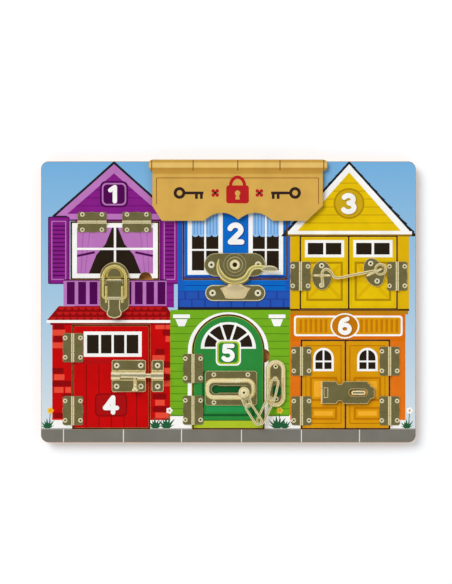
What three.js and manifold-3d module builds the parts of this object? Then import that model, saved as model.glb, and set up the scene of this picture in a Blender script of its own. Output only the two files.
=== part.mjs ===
// A wooden latch board: two window flaps and six door leaves in a painted panel, held by six kinds of brass latch.
// Millimetres. X runs to the right and Y up the front, Z stands out of it. The origin is the centre of the back face.
import * as THREE from "three";
import { mergeVertices } from "three/addons/utils/BufferGeometryUtils.js";
import Module from "manifold-3d";

const wasm = await Module();
wasm.setup();

// Board
const board = { width: 400, height: 300, corner: 8, back: 3, front: 8 };
const faceZ = board.back + board.front;
const doorThickness = 6;
const sawGap = 1.3;
const overrun = 1;
const fit = 0.3;
const doorCorner = 1.2;
const sameSpot = 0.001;
const endFlat = 0.03;
const fullTurn = 2 * Math.PI;

// Window flaps hang from a top edge, and doors from a side edge
const window1 = { left: -167, right: -75, bottom: 25, hingeY: 85.1 };
const window2 = { left: -47.3, right: 62, bottom: 25, hingeY: 106 };
const door3 = { leftHinge: 76.9, rightHinge: 180.1, bottom: -7, top: 69.6 };
const door4 = { hinge: -165.9, free: -84.9, bottom: -134.5, top: -25.5 };
const door5 = { hinge: -37.7, free: 37.2, bottom: -134.8, spring: -51.8 };
const door6 = { leftHinge: 78, rightHinge: 172, bottom: -134.8, top: -41.7 };
const flapNotch = { x: -88.5, radius: 6.7 };
const boardNotch = { y: -57.6, radius: 7.2 };

// Butt hinges and screws
const hinge = { width: 11, length: 31, plate: 0.9, barrel: 1.5, lift: 0.1, corner: 2, nibble: 0.7 };
const hingeScrew = { across: 8.15, along: 10.4 };
const hingePin = { sides: 6 };
const barrelSides = 8;
const axisZ = hinge.lift + hinge.barrel;
const screw = { radius: 2.3, height: 0.8, sides: 8 };
const plate = 1.2;

// Where each hinge sits along its edge
const hingePlaces = {
  window1: [-145.3, -97.7],
  window2: [-22.6, 37.3],
  door3: 27.5,
  door4: [-48.8, -116],
  door5: [-70.9, -115.5],
  door6: [-63.2, -116.1],
};

// Draw latch on window 1
const draw = { x: -121.4, width: 31.5, baseTop: 24.6, baseBottom: -11.8, pointY: -7, catchBottom: 25.4 };
const drawCatch = { top: 42.6, domeWidth: 14.4, domeBottom: 29.6, domeTop: 36.4, height: 5.2 };
const drawLever = { pivotY: 23, loopY: 4, pivotZ: 4.6, loopZ: 4.4, width: 13.6, sheet: 1.2, roll: 1.5 };
const drawTongue = { neck: 12, end: 16.6, bottom: -17.6 };
const drawEar = { inner: 8, thickness: 1.4, length: 8, pin: 0.8 };
const drawLoop = { halfWidth: 12.3, top: 39.6, wire: 1.3, corner: 3.2 };

// Sash lock on window 2
const sash = { x: 6.9, y: 39.6, width: 65.3, height: 24.9, screwX: 24.9, boss: 4.2, bossHeight: 5.4 };
const cam = { disc: 11.5, rim: 15.6, outer: 20.3, flange: 22.4, lift: 0.4, sheet: 1.4 };
const camSweep = { startDegrees: 163, endDegrees: 355 };
const camRim = { height: 5.2, bore: 4.6 };
const towardKeeperDegrees = -90;
const camHandle = { rootX: 15, rootY: -10.5, kneeX: 24, kneeY: -2.2, tipX: 40, tipY: -4.4, tipZ: 9.2 };
const handleArm = { radius: 2 };
const handlePad = { half: 3.4, longShare: 2.6, thinShare: 0.33 };
const sashKeeper = { x: 7.4, y: 9.5, width: 64, height: 17, screwX: 24.2, hoodTop: 8.3, hoodWide: 16.5, wideY: 14.8 };
const keeperHood = { bottomHalf: 10.4, bottomY: 3.4, topY: 19, height: 6.6 };

// Hook and eye on door 3
const eyeLeft = { x: 99.6, y: 28.2, halfWidth: 10.7, halfHeight: 15.6, screwY: 10.4, tilt: 0, archTurn: 0 };
const eyeRight = { x: 155.3, y: 31.6, halfWidth: 10.7, halfHeight: 15.8, screwY: 9.9, tilt: 20, archTurn: 5 };
const eyeArch = { half: 8.6, rod: 1.1, top: 7.8 };
const archFullnessShare = 0.5;
const hookRod = { radius: 1.2, z: 3.9 };
const hookRing = { x: 162.2, y: 34.8, radius: 5.3 };
const hookRoute = [
  [157.1, 33.4],
  [115.3, 25.6],
  [109.6, 31.4],
  [104.9, 34.8],
  [101.2, 33.4],
  [99.6, 28.6],
  [100.4, 21],
  [99.5, 16.6],
];

// Slide bolt on door 4
const bolt = { y: -78.4, left: -125.4, right: -69.9, radius: 2.8, z: 4.6, knobX: -99.3, knobY: -95, travel: 12.5 };
const boltKnob = { stem: 1.8, ball: 3, ballLength: 4.4 };
const boltPlate = { left: -124.5, right: -88, bottom: -96.1, top: -61.9, corner: 2.4, screwX: 5.4, screwY: 6 };
const boltKeeper = { left: -81.9, right: -69 };
const boltGuide = { wall: 1.5, clearance: 0.45, slotSide: 0.8 };

// Chain latch on door 5
const track = { left: -25, right: 30.9, bottom: -110.6, top: -73.5, corner: 3.4, screwX: 12.6 };
const trackRing = { bottom: -105.9, top: -80.5, left: -23.2, right: 27.6, height: 4.2, wall: 5, lip: 1.3 };
const trackSlot = { y: -93.2, width: 7, entryX: -13.1, entry: 4.6, endX: 16.6 };
const slider = { foot: 4.1, footThickness: 1.2, stem: 2.6, head: 6.1, headHeight: 2.2, knob: 3.3, knobHeight: 1.6 };
const sliderTab = { x: 20.4, y: -111, width: 9.2, thickness: 1.2, hole: 2.7 };
const anchor = { left: 39.9, right: 61.3, bottom: -112.3, top: -61.4, ringWall: 4.6, ringHeight: 3.6 };
const anchorScrew = { topX: 50.6, topY: -68.9, bottomX: 51.2, bottomY: -104.6 };
const anchorEye = { x: 50, y: -82, wire: 1 };
const link = { wire: 1.1, halfWidth: 3.7 };
const linkJoints = [
  [49.9, -83.2],
  [45.4, -103],
  [33, -128.6],
  [21, -110.2],
];
const linkZ = [8, 5.6, 8];

// Hasp on door 6
const hasp = { left: 98.6, right: 155.8, y: -96.6, height: 24.2, sheet: 1.4, barrel: 1.5, tip: 8, tipHalf: 5.4 };
const haspNotch = { x: 118.8, radius: 2.9 };
const haspSlot = { left: 128.9, right: 147.7, height: 6.9 };
const haspBase = { length: 17, half: 8.6, knuckle: 4.6 };
const staple = { x: 138.3, length: 15.4, width: 4.4, top: 7.6, head: 2.4, neck: 1.5, washer: 3.1 };

// Header card
const card = { left: -81, right: 100.6, bottom: 86.4, top: 151.6, lift: 3.55, sheet: 0.8 };
const cardCut = { left: 10, right: 17, rise: 16 };
const cardRail = { left: -85, right: 105.5, bottom: 139.6, foot: 0.3, end: 5.2 };
const cardScallop = { x: 10.6, half: 18.2, rise: 8.3, cusp: 1.2 };

const finish = {
  brass: { color: 0xd8c27a, roughness: 0.28, metalness: 1 },
  paint: { color: 0x8bbce0, roughness: 0.45, metalness: 0 },
  wood: { color: 0xc89a5c, roughness: 0.6, metalness: 0 },
  purple: { color: 0x7c2a8c, roughness: 0.45, metalness: 0 },
  blue: { color: 0x1668c4, roughness: 0.45, metalness: 0 },
  yellow: { color: 0xf0cc10, roughness: 0.45, metalness: 0 },
  red: { color: 0xd01414, roughness: 0.45, metalness: 0 },
  green: { color: 0x2e8c3c, roughness: 0.45, metalness: 0 },
  orange: { color: 0xe8a010, roughness: 0.45, metalness: 0 },
  cardboard: { color: 0xd8a850, roughness: 0.7, metalness: 0 },
};

// Solids
function solidOf(geometry) {
  const bare = geometry.index ? geometry.toNonIndexed() : geometry.clone();
  bare.deleteAttribute("normal");
  bare.deleteAttribute("uv");
  const merged = mergeVertices(bare, 1e-4);
  const vertProperties = merged.attributes.position.array;
  const triVerts = new Uint32Array(merged.index.array);
  return new wasm.Manifold(new wasm.Mesh({ numProp: 3, vertProperties, triVerts }));
}

function join(...geometries) {
  return geometries.map(solidOf).reduce((whole, next) => whole.add(next));
}

function cutBy(whole, ...geometries) {
  return geometries.map(solidOf).reduce((rest, next) => rest.subtract(next), whole);
}

function geometryOf(solid) {
  const mesh = solid.getMesh();
  const points = [];
  for (let i = 0; i < mesh.vertProperties.length; i += mesh.numProp) {
    points.push(...mesh.vertProperties.subarray(i, i + 3));
  }
  const geometry = new THREE.BufferGeometry();
  geometry.setAttribute("position", new THREE.Float32BufferAttribute(points, 3));
  geometry.setIndex(new THREE.BufferAttribute(mesh.triVerts, 1));
  geometry.computeVertexNormals();
  return geometry;
}

// Shapes
// Points that fall on the next one are dropped, so that the extruded body closes
function slab(shape, bottom, thickness, steps = 6) {
  const points = shape.getPoints(steps);
  const apart = points.filter((point, i) => point.distanceTo(points[(i + 1) % points.length]) > sameSpot);
  const geometry = new THREE.ExtrudeGeometry(new THREE.Shape(apart), { depth: thickness, bevelEnabled: false });
  return geometry.translate(0, 0, bottom);
}

function rectangle(left, right, bottom, top, radius = 0) {
  const shape = new THREE.Shape();
  if (radius === 0) {
    return shape.moveTo(left, bottom).lineTo(right, bottom).lineTo(right, top).lineTo(left, top);
  }
  shape.moveTo(left + radius, bottom);
  shape.absarc(right - radius, bottom + radius, radius, -Math.PI / 2, 0);
  shape.absarc(right - radius, top - radius, radius, 0, Math.PI / 2);
  shape.absarc(left + radius, top - radius, radius, Math.PI / 2, Math.PI);
  shape.absarc(left + radius, bottom + radius, radius, Math.PI, 1.5 * Math.PI);
  return shape;
}

function rod(from, to, radius, sides = 12) {
  const start = new THREE.Vector3(...from);
  const along = new THREE.Vector3(...to).sub(start);
  const geometry = new THREE.CylinderGeometry(radius, radius, along.length(), sides);
  geometry.translate(0, along.length() / 2, 0);
  const turn = new THREE.Quaternion().setFromUnitVectors(new THREE.Vector3(0, 1, 0), along.clone().normalize());
  return geometry.applyQuaternion(turn).translate(...from);
}

function turned(profile, sides = 12) {
  const points = profile.map(([radius, height]) => new THREE.Vector2(radius, height));
  return new THREE.LatheGeometry(points, sides).rotateX(Math.PI / 2);
}

function screwHead(x, y, bottom) {
  const inner = screw.radius / 2;
  const profile = [
    [0, 0],
    [screw.radius, 0],
    [screw.radius, screw.height / 2],
    [inner, screw.height],
    [0, screw.height],
  ];
  return turned(profile, screw.sides).translate(x, y, bottom);
}

function wire(points, radius, sides, steps) {
  const curve = new THREE.CatmullRomCurve3(points.map((p) => new THREE.Vector3(...p)), false, "centripetal");
  const section = new THREE.Shape();
  for (let i = 0; i < sides; i += 1) {
    const angle = (2 * Math.PI * i) / sides;
    const corner = [radius * Math.cos(angle), radius * Math.sin(angle)];
    if (i === 0) section.moveTo(...corner);
    else section.lineTo(...corner);
  }
  return new THREE.ExtrudeGeometry(section, { steps, extrudePath: curve });
}

function closedWire(outline, z, radius, sides, steps) {
  const curve = new THREE.CatmullRomCurve3(outline.map(([x, y]) => new THREE.Vector3(x, y, z)), true, "centripetal");
  return new THREE.TubeGeometry(curve, steps, radius, sides, true);
}

const root = new THREE.Group();

function place(name, solid, material, at = [0, 0, 0], turn = 0) {
  const geometry = solid.isBufferGeometry ? solid : geometryOf(solid);
  const mesh = new THREE.Mesh(geometry, new THREE.MeshStandardMaterial(finish[material]));
  mesh.name = name;
  mesh.position.set(...at);
  mesh.rotation.z = turn;
  root.add(mesh);
  return mesh;
}

// Openings are a saw gap wider than what swings in them
function archShape(left, right, bottom, spring, grow) {
  const radius = (right - left) / 2 + grow;
  const centre = (left + right) / 2;
  const shape = new THREE.Shape();
  shape.moveTo(centre - radius, bottom - grow);
  shape.lineTo(centre + radius, bottom - grow);
  shape.absarc(centre, spring, radius, 0, Math.PI);
  return shape;
}

const half = sawGap / 2;
const door5Left = door5.hinge + half;
const window1Top = window1.hingeY - half;
const window2Top = window2.hingeY - half;

function opening(left, right, bottom, top) {
  return slab(rectangle(left, right, bottom, top), board.back - overrun, board.front + 2 * overrun);
}

function boards() {
  const halfWidth = board.width / 2;
  const halfHeight = board.height / 2;
  const outline = rectangle(-halfWidth, halfWidth, -halfHeight, halfHeight, board.corner);
  place("back_board", slab(outline, 0, board.back), "wood");
  const panel = solidOf(slab(outline, board.back, board.front));
  const arch = archShape(door5Left, door5.free, door5.bottom, door5.spring, sawGap);
  const hingeSide = opening(door5.hinge - half, door5.hinge + sawGap, door5.bottom - sawGap, door5.spring);
  const notch = new THREE.Shape();
  notch.absarc(door5.free, boardNotch.y, boardNotch.radius, 0, fullTurn);
  const cuts = [
    opening(window1.left - sawGap, window1.right + sawGap, window1.bottom - sawGap, window1.hingeY + half),
    opening(window2.left - sawGap, window2.right + sawGap, window2.bottom - sawGap, window2.hingeY + half),
    opening(door3.leftHinge - half, door3.rightHinge + half, door3.bottom - sawGap, door3.top + sawGap),
    opening(door4.hinge - half, door4.free + sawGap, door4.bottom - sawGap, door4.top + sawGap),
    opening(door6.leftHinge - half, door6.rightHinge + half, door6.bottom - sawGap, door6.top + sawGap),
    slab(arch, board.back - overrun, board.front + 2 * overrun, 20),
    hingeSide,
    slab(notch, board.back - overrun, board.front + 2 * overrun, 16),
  ];
  place("front_board", cutBy(panel, ...cuts), "paint");
}

function leaf(left, right, bottom, top) {
  return slab(rectangle(left, right, bottom, top, doorCorner), faceZ - doorThickness, doorThickness, 2);
}

function doors() {
  const notch = new THREE.Shape();
  notch.absarc(flapNotch.x, window1.bottom, flapNotch.radius, 0, fullTurn);
  const notchCut = slab(notch, board.back, board.front + overrun, 16);
  const flap1 = solidOf(leaf(window1.left, window1.right, window1.bottom, window1Top));
  place("window_1_flap", cutBy(flap1, notchCut), "purple");
  place("window_2_flap", leaf(window2.left, window2.right, window2.bottom, window2Top), "blue");
  const middle3 = (door3.leftHinge + door3.rightHinge) / 2;
  const middle6 = (door6.leftHinge + door6.rightHinge) / 2;
  place("door_3_left", leaf(door3.leftHinge + half, middle3 - half, door3.bottom, door3.top), "yellow");
  place("door_3_right", leaf(middle3 + half, door3.rightHinge - half, door3.bottom, door3.top), "yellow");
  place("door_4", leaf(door4.hinge + half, door4.free, door4.bottom, door4.top), "red");
  const arch = archShape(door5Left, door5.free, door5.bottom, door5.spring, 0);
  place("door_5", slab(arch, faceZ - doorThickness, doorThickness, 20), "green");
  place("door_6_left", leaf(door6.leftHinge + half, middle6 - half, door6.bottom, door6.top), "orange");
  place("door_6_right", leaf(middle6 + half, door6.rightHinge - half, door6.bottom, door6.top), "orange");
}

// A hinge leaf lies on its own side of the barrel. side is -1 for the frame's leaf and 1 for the moving one.
function hingeLeaf(side) {
  const reach = side * hinge.width;
  const tall = hinge.length / 2;
  const nibbled = side * (hinge.width - hinge.nibble);
  const cornerX = side * (hinge.width - hinge.corner);
  const knuckle = hinge.length / 3;
  const lobeShare = 0.26;
  const dipShare = 0.18;
  const bumpShare = 0.07;
  const outline = new THREE.Shape();
  const edge = [
    [0, -tall],
    [cornerX, -tall],
    [reach, hinge.corner - tall],
    [reach, -lobeShare * hinge.length],
    [nibbled, -dipShare * hinge.length],
    [(reach + nibbled) / 2, -bumpShare * hinge.length],
    [(reach + nibbled) / 2, bumpShare * hinge.length],
    [nibbled, dipShare * hinge.length],
    [reach, lobeShare * hinge.length],
    [reach, tall - hinge.corner],
    [cornerX, tall],
    [0, tall],
  ];
  outline.setFromPoints(edge.map(([x, y]) => new THREE.Vector2(x, y)));
  const low = (y) => [0, y, axisZ];
  const ends = knuckle / 2 + fit / 2;
  const relief = hinge.barrel + fit;
  let whole = solidOf(slab(outline, 0, hinge.plate));
  const clear = (bottom, top) => slab(rectangle(-relief, relief, bottom, top), -overrun, hinge.plate + 2 * overrun);
  if (side < 0) {
    whole = cutBy(whole, clear(-ends, ends));
    const lower = rod(low(-tall), low(-ends), hinge.barrel, barrelSides);
    const upper = rod(low(ends), low(tall), hinge.barrel, barrelSides);
    const pin = rod(low(-ends - overrun), low(ends + overrun), hinge.barrel / 2, hingePin.sides);
    whole = whole.add(join(lower, upper, pin));
  } else {
    const inner = knuckle / 2 - fit / 2;
    whole = cutBy(whole, clear(inner, tall + overrun), clear(-tall - overrun, -inner));
    const bore = rod(low(-tall), low(tall), hinge.barrel / 2 + fit / 2, hingePin.sides);
    whole = cutBy(whole.add(solidOf(rod(low(-inner), low(inner), hinge.barrel, barrelSides))), bore);
  }
  for (const y of [-hingeScrew.along, hingeScrew.along]) {
    whole = whole.add(solidOf(screwHead(side * hingeScrew.across, y, hinge.plate)));
  }
  return geometryOf(whole);
}

function hinges() {
  const down = -Math.PI / 2;
  const across = Math.PI;
  const spots = [
    ["window_1_hinge_left", hingePlaces.window1[0], window1.hingeY, down],
    ["window_1_hinge_right", hingePlaces.window1[1], window1.hingeY, down],
    ["window_2_hinge_left", hingePlaces.window2[0], window2.hingeY, down],
    ["window_2_hinge_right", hingePlaces.window2[1], window2.hingeY, down],
    ["door_3_hinge_left", door3.leftHinge, hingePlaces.door3, 0],
    ["door_3_hinge_right", door3.rightHinge, hingePlaces.door3, across],
    ["door_4_hinge_top", door4.hinge, hingePlaces.door4[0], 0],
    ["door_4_hinge_bottom", door4.hinge, hingePlaces.door4[1], 0],
    ["door_5_hinge_top", door5.hinge, hingePlaces.door5[0], 0],
    ["door_5_hinge_bottom", door5.hinge, hingePlaces.door5[1], 0],
    ["door_6_hinge_left_top", door6.leftHinge, hingePlaces.door6[0], 0],
    ["door_6_hinge_left_bottom", door6.leftHinge, hingePlaces.door6[1], 0],
    ["door_6_hinge_right_top", door6.rightHinge, hingePlaces.door6[0], across],
    ["door_6_hinge_right_bottom", door6.rightHinge, hingePlaces.door6[1], across],
  ];
  const frameLeaf = hingeLeaf(-1);
  const doorLeaf = hingeLeaf(1);
  for (const [name, x, y, turn] of spots) {
    place(`${name}_frame_leaf`, frameLeaf, "brass", [x, y, faceZ], turn);
    place(`${name}_door_leaf`, doorLeaf, "brass", [x, y, faceZ], turn);
  }
}

// The latches are drawn with z counted from the board's face
function drawLatch() {
  const wide = draw.width / 2;
  const at = [draw.x, 0, faceZ];
  const catchFoot = draw.catchBottom + fit;
  const catchOutline = new THREE.Shape();
  catchOutline.moveTo(-wide, catchFoot).lineTo(wide, catchFoot);
  catchOutline.absellipse(0, catchFoot, wide, drawCatch.top - catchFoot, 0, Math.PI);
  const domeHalf = drawCatch.domeWidth / 2;
  const dome = new THREE.Shape();
  dome.moveTo(-domeHalf, drawCatch.domeBottom).lineTo(domeHalf, drawCatch.domeBottom);
  dome.absellipse(0, drawCatch.domeBottom, domeHalf, drawCatch.domeTop - drawCatch.domeBottom, 0, Math.PI);
  const hook = slab(dome, plate - fit, drawCatch.height - plate + fit, 8);
  place("draw_catch_plate", join(slab(catchOutline, 0, plate, 12), hook), "brass", at);

  const foot = new THREE.Shape();
  const footHalf = drawTongue.neck / 2;
  foot.moveTo(-footHalf, draw.baseBottom).lineTo(footHalf, draw.baseBottom).lineTo(wide, draw.pointY);
  foot.lineTo(wide, draw.baseTop - fit).lineTo(-wide, draw.baseTop - fit).lineTo(-wide, draw.pointY);
  const pivot = (x) => [x, drawLever.pivotY, drawLever.pivotZ];
  const earHalf = drawEar.length / 2;
  let base = solidOf(slab(foot, 0, plate));
  for (const side of [-1, 1]) {
    const near = side * drawEar.inner;
    const far = side * (drawEar.inner + drawEar.thickness);
    const low = Math.min(near, far);
    const high = Math.max(near, far);
    const ear = slab(rectangle(low, high, drawLever.pivotY - earHalf, draw.baseTop - fit), plate - fit, drawLever.pivotZ);
    base = base.add(solidOf(ear));
  }
  const earOuter = drawEar.inner + drawEar.thickness;
  base = base.add(solidOf(rod(pivot(-earOuter), pivot(earOuter), drawEar.pin, 8)));
  place("draw_latch_base", base, "brass", at);

  const leverHalf = drawLever.width / 2;
  const loopBar = (x) => [x, drawLever.loopY, drawLever.loopZ];
  const rollTop = drawLever.pivotZ + drawLever.roll;
  const sheetBottom = rollTop - drawLever.sheet;
  const panel = rectangle(-leverHalf, leverHalf, drawLever.loopY, drawLever.pivotY);
  const tongue = new THREE.Shape();
  const endHalf = drawTongue.end / 2;
  const span = drawLever.loopY - drawTongue.bottom;
  const flareShare = 0.72;
  tongue.moveTo(-footHalf, drawLever.loopY).lineTo(-footHalf, drawLever.loopY - span / 2);
  tongue.lineTo(-endHalf, drawLever.loopY - flareShare * span);
  tongue.quadraticCurveTo(-endHalf, drawTongue.bottom, 0, drawTongue.bottom);
  tongue.quadraticCurveTo(endHalf, drawTongue.bottom, endHalf, drawLever.loopY - flareShare * span);
  tongue.lineTo(footHalf, drawLever.loopY - span / 2).lineTo(footHalf, drawLever.loopY);
  const loopBore = drawLoop.wire + fit;
  const saddle = loopBore + drawLever.sheet;
  let lever = join(slab(panel, sheetBottom, drawLever.sheet), slab(tongue, sheetBottom, drawLever.sheet, 4));
  lever = lever.add(solidOf(rod(pivot(-leverHalf), pivot(leverHalf), drawLever.roll, 12)));
  lever = lever.add(solidOf(rod(loopBar(-leverHalf), loopBar(leverHalf), saddle, 14)));
  lever = cutBy(lever, rod(pivot(-wide), pivot(wide), drawEar.pin + fit / 2, 8));
  lever = cutBy(lever, rod(loopBar(-wide), loopBar(wide), loopBore, 12));
  place("draw_latch_lever", lever, "brass", at);

  const across = drawLoop.halfWidth;
  const route = [];
  const bend = drawLoop.corner;
  const archTop = drawLoop.top - drawLoop.wire;
  const archStart = archTop - across;
  const stations = 4;
  route.push([bend - across, drawLever.loopY], [-footHalf, drawLever.loopY]);
  route.push([footHalf, drawLever.loopY], [across - bend, drawLever.loopY]);
  route.push([across, drawLever.loopY + bend], [across, (drawLever.loopY + archStart) / 2]);
  for (let i = 0; i <= 2 * stations; i += 1) {
    const angle = (Math.PI * i) / (2 * stations);
    route.push([across * Math.cos(angle), archStart + across * Math.sin(angle)]);
  }
  route.push([-across, (drawLever.loopY + archStart) / 2], [-across, drawLever.loopY + bend]);
  place("draw_latch_loop", closedWire(route, drawLever.loopZ, drawLoop.wire, 6, 32), "brass", at);
}

function sector(inner, outer, startDegrees, endDegrees) {
  const start = THREE.MathUtils.degToRad(startDegrees);
  const end = THREE.MathUtils.degToRad(endDegrees);
  const shape = new THREE.Shape();
  shape.moveTo(inner * Math.cos(start), inner * Math.sin(start));
  shape.absarc(0, 0, outer, start, end);
  shape.absarc(0, 0, inner, end, start, true);
  return shape;
}

function stadium(width, height) {
  return rectangle(-width / 2, width / 2, -height / 2, height / 2, height / 2 - endFlat);
}

function sashLock() {
  const at = [sash.x, sash.y, faceZ];
  const bossProfile = [
    [0, 0],
    [sash.boss, 0],
    [sash.boss, sash.bossHeight],
    [0, sash.bossHeight],
  ];
  let fixed = join(slab(stadium(sash.width, sash.height), 0, plate, 6), turned(bossProfile, 16));
  for (const x of [-sash.screwX, sash.screwX]) {
    fixed = fixed.add(solidOf(screwHead(x, 0, plate)));
  }
  place("sash_lock_plate", fixed, "brass", at);

  const camBottom = plate + cam.lift;
  const hub = new THREE.Shape();
  hub.absarc(0, 0, cam.disc, 0, fullTurn);
  // The flange is as wide as the hood that it slides under
  const flangeTurn = THREE.MathUtils.radToDeg(Math.asin(sashKeeper.hoodWide / cam.flange));
  const flange = sector(cam.disc / 2, cam.flange, towardKeeperDegrees - flangeTurn, towardKeeperDegrees + flangeTurn);
  const web = sector(cam.disc / 2, cam.outer, camSweep.startDegrees, camSweep.endDegrees);
  const rim = sector(cam.rim, cam.outer, camSweep.startDegrees, camSweep.endDegrees);
  const rimHeight = camRim.height - plate - cam.lift;
  let lever = join(slab(hub, camBottom, cam.sheet, 10), slab(web, camBottom, cam.sheet, 10));
  lever = lever.add(join(slab(flange, camBottom, cam.sheet, 6), slab(rim, camBottom, rimHeight, 10)));
  const low = camBottom + handleArm.radius;
  const arm = wire(
    [
      [camHandle.rootX, camHandle.rootY, low],
      [camHandle.kneeX, camHandle.kneeY, (low + camHandle.tipZ) / 2],
      [camHandle.tipX, camHandle.tipY, camHandle.tipZ],
    ],
    handleArm.radius,
    6,
    6,
  );
  const padLong = handlePad.longShare * handlePad.half;
  const padThin = handlePad.thinShare * handlePad.half;
  const pad = new THREE.SphereGeometry(1, 10, 6).scale(padLong, handlePad.half, padThin);
  pad.translate(camHandle.tipX - handlePad.half, camHandle.tipY, camHandle.tipZ);
  lever = lever.add(join(arm, pad));
  lever = cutBy(lever, rod([0, 0, 0], [0, 0, 2 * camRim.height], camRim.bore, 16));
  place("sash_lock_lever", lever, "brass", at);

  const keeperAt = [sashKeeper.x, sashKeeper.y, faceZ];
  const hood = new THREE.Shape();
  const topY = keeperHood.topY - sashKeeper.y;
  const wideY = sashKeeper.wideY - sashKeeper.y;
  const footY = keeperHood.bottomY - sashKeeper.y;
  hood.moveTo(-keeperHood.bottomHalf, footY).lineTo(keeperHood.bottomHalf, footY).lineTo(sashKeeper.hoodWide, wideY);
  hood.lineTo(sashKeeper.hoodTop, topY).lineTo(-sashKeeper.hoodTop, topY).lineTo(-sashKeeper.hoodWide, wideY);
  const groove = new THREE.Shape();
  groove.absarc(sash.x - sashKeeper.x, sash.y - sashKeeper.y, cam.flange + fit, 0, fullTurn);
  const grooveTop = camBottom + cam.sheet + fit;
  const clearRim = new THREE.Shape();
  clearRim.absarc(sash.x - sashKeeper.x, sash.y - sashKeeper.y, cam.outer + fit, 0, fullTurn);
  let keeper = join(slab(stadium(sashKeeper.width, sashKeeper.height), 0, plate, 6), slab(hood, 0, keeperHood.height));
  keeper = cutBy(keeper, slab(groove, plate / 2, grooveTop - plate / 2, 28));
  keeper = cutBy(keeper, slab(clearRim, plate / 2, 2 * keeperHood.height, 28));
  for (const x of [-sashKeeper.screwX, sashKeeper.screwX]) {
    keeper = keeper.add(solidOf(screwHead(x, 0, plate)));
  }
  place("sash_keeper", keeper, "brass", keeperAt);
}

function eyePlate(name, eye) {
  const outline = new THREE.Shape();
  outline.absellipse(0, 0, eye.halfWidth, eye.halfHeight, 0, fullTurn);
  const archPoints = [];
  const stations = 8;
  const rise = eyeArch.top - plate;
  for (let i = 0; i <= stations; i += 1) {
    const angle = (Math.PI * i) / stations;
    const lift = Math.sin(angle) ** archFullnessShare;
    archPoints.push([eyeArch.half * Math.cos(angle), 0, plate / 2 + (rise + plate / 2) * lift]);
  }
  const arch = wire(archPoints, eyeArch.rod, 6, 10).rotateZ(THREE.MathUtils.degToRad(eye.archTurn));
  let whole = join(slab(outline, 0, plate, 12), arch);
  for (const y of [-eye.screwY, eye.screwY]) {
    whole = whole.add(solidOf(screwHead(0, y, plate)));
  }
  place(name, whole, "brass", [eye.x, eye.y, faceZ], THREE.MathUtils.degToRad(eye.tilt));
}

function hookAndEyes() {
  eyePlate("hook_eye_left", eyeLeft);
  eyePlate("hook_eye_right", eyeRight);
  const ring = new THREE.TorusGeometry(hookRing.radius, hookRod.radius, 6, 16);
  ring.translate(hookRing.x, hookRing.y, hookRod.z);
  const shank = wire(hookRoute.map(([x, y]) => [x, y, hookRod.z]), hookRod.radius, 6, 30);
  place("hook", join(ring, shank), "brass", [0, 0, faceZ]);
}

function guideTunnel(left, right) {
  const inner = bolt.radius + boltGuide.clearance;
  const outer = inner + boltGuide.wall;
  const section = [];
  const stations = 8;
  for (let i = 0; i <= stations; i += 1) {
    const angle = (Math.PI * i) / stations;
    section.push(new THREE.Vector2(outer * Math.cos(angle), bolt.z + outer * Math.sin(angle)));
  }
  section.push(new THREE.Vector2(-outer, plate / 2), new THREE.Vector2(outer, plate / 2));
  const shape = new THREE.Shape(section);
  const body = new THREE.ExtrudeGeometry(shape, { depth: right - left, bevelEnabled: false });
  body.rotateX(Math.PI / 2).rotateZ(Math.PI / 2).translate(left, bolt.y, 0);
  return body;
}

function slideBolt() {
  const inner = bolt.radius + boltGuide.clearance;
  const outer = inner + boltGuide.wall;
  const at = [0, 0, faceZ];
  const channel = (left, right) => rod([left, bolt.y, bolt.z], [right, bolt.y, bolt.z], inner, 14);
  const slotLeft = bolt.knobX - boltKnob.stem - bolt.travel - boltGuide.slotSide;
  const slotRight = bolt.knobX + boltKnob.stem + boltGuide.slotSide;
  const slot = slab(rectangle(slotLeft, slotRight, bolt.y - 2 * outer, bolt.y), plate + fit, 2 * outer);
  const outline = rectangle(boltPlate.left, boltPlate.right, boltPlate.bottom, boltPlate.top, boltPlate.corner);
  let guide = solidOf(slab(outline, 0, plate, 3)).add(solidOf(guideTunnel(boltPlate.left, boltPlate.right)));
  guide = cutBy(guide, channel(boltPlate.left - overrun, boltPlate.right + overrun), slot);
  for (const x of [boltPlate.left + boltPlate.screwX, boltPlate.right - boltPlate.screwX]) {
    for (const y of [boltPlate.bottom + boltPlate.screwY, boltPlate.top - boltPlate.screwY]) {
      guide = guide.add(solidOf(screwHead(x, y, plate)));
    }
  }
  place("bolt_guide", guide, "brass", at);

  const keeperOutline = rectangle(boltKeeper.left, boltKeeper.right, boltPlate.bottom, boltPlate.top, boltPlate.corner);
  let keeper = solidOf(slab(keeperOutline, 0, plate, 3)).add(solidOf(guideTunnel(boltKeeper.left, boltKeeper.right)));
  keeper = cutBy(keeper, channel(boltKeeper.left - overrun, boltKeeper.right + overrun));
  for (const y of [boltPlate.bottom + boltPlate.screwY, boltPlate.top - boltPlate.screwY]) {
    keeper = keeper.add(solidOf(screwHead((boltKeeper.left + boltKeeper.right) / 2, y, plate)));
  }
  place("bolt_keeper", keeper, "brass", at);

  const bar = rod([bolt.left, bolt.y, bolt.z], [bolt.right, bolt.y, bolt.z], bolt.radius, 12);
  const stem = rod([bolt.knobX, bolt.y, bolt.z], [bolt.knobX, bolt.knobY, bolt.z], boltKnob.stem, 8);
  const ballTop = bolt.knobY + boltKnob.ballLength;
  const ball = rod([bolt.knobX, ballTop, bolt.z], [bolt.knobX, bolt.knobY, bolt.z], boltKnob.ball, 10);
  place("slide_bolt", join(bar, stem, ball), "brass", at);
}

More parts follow.
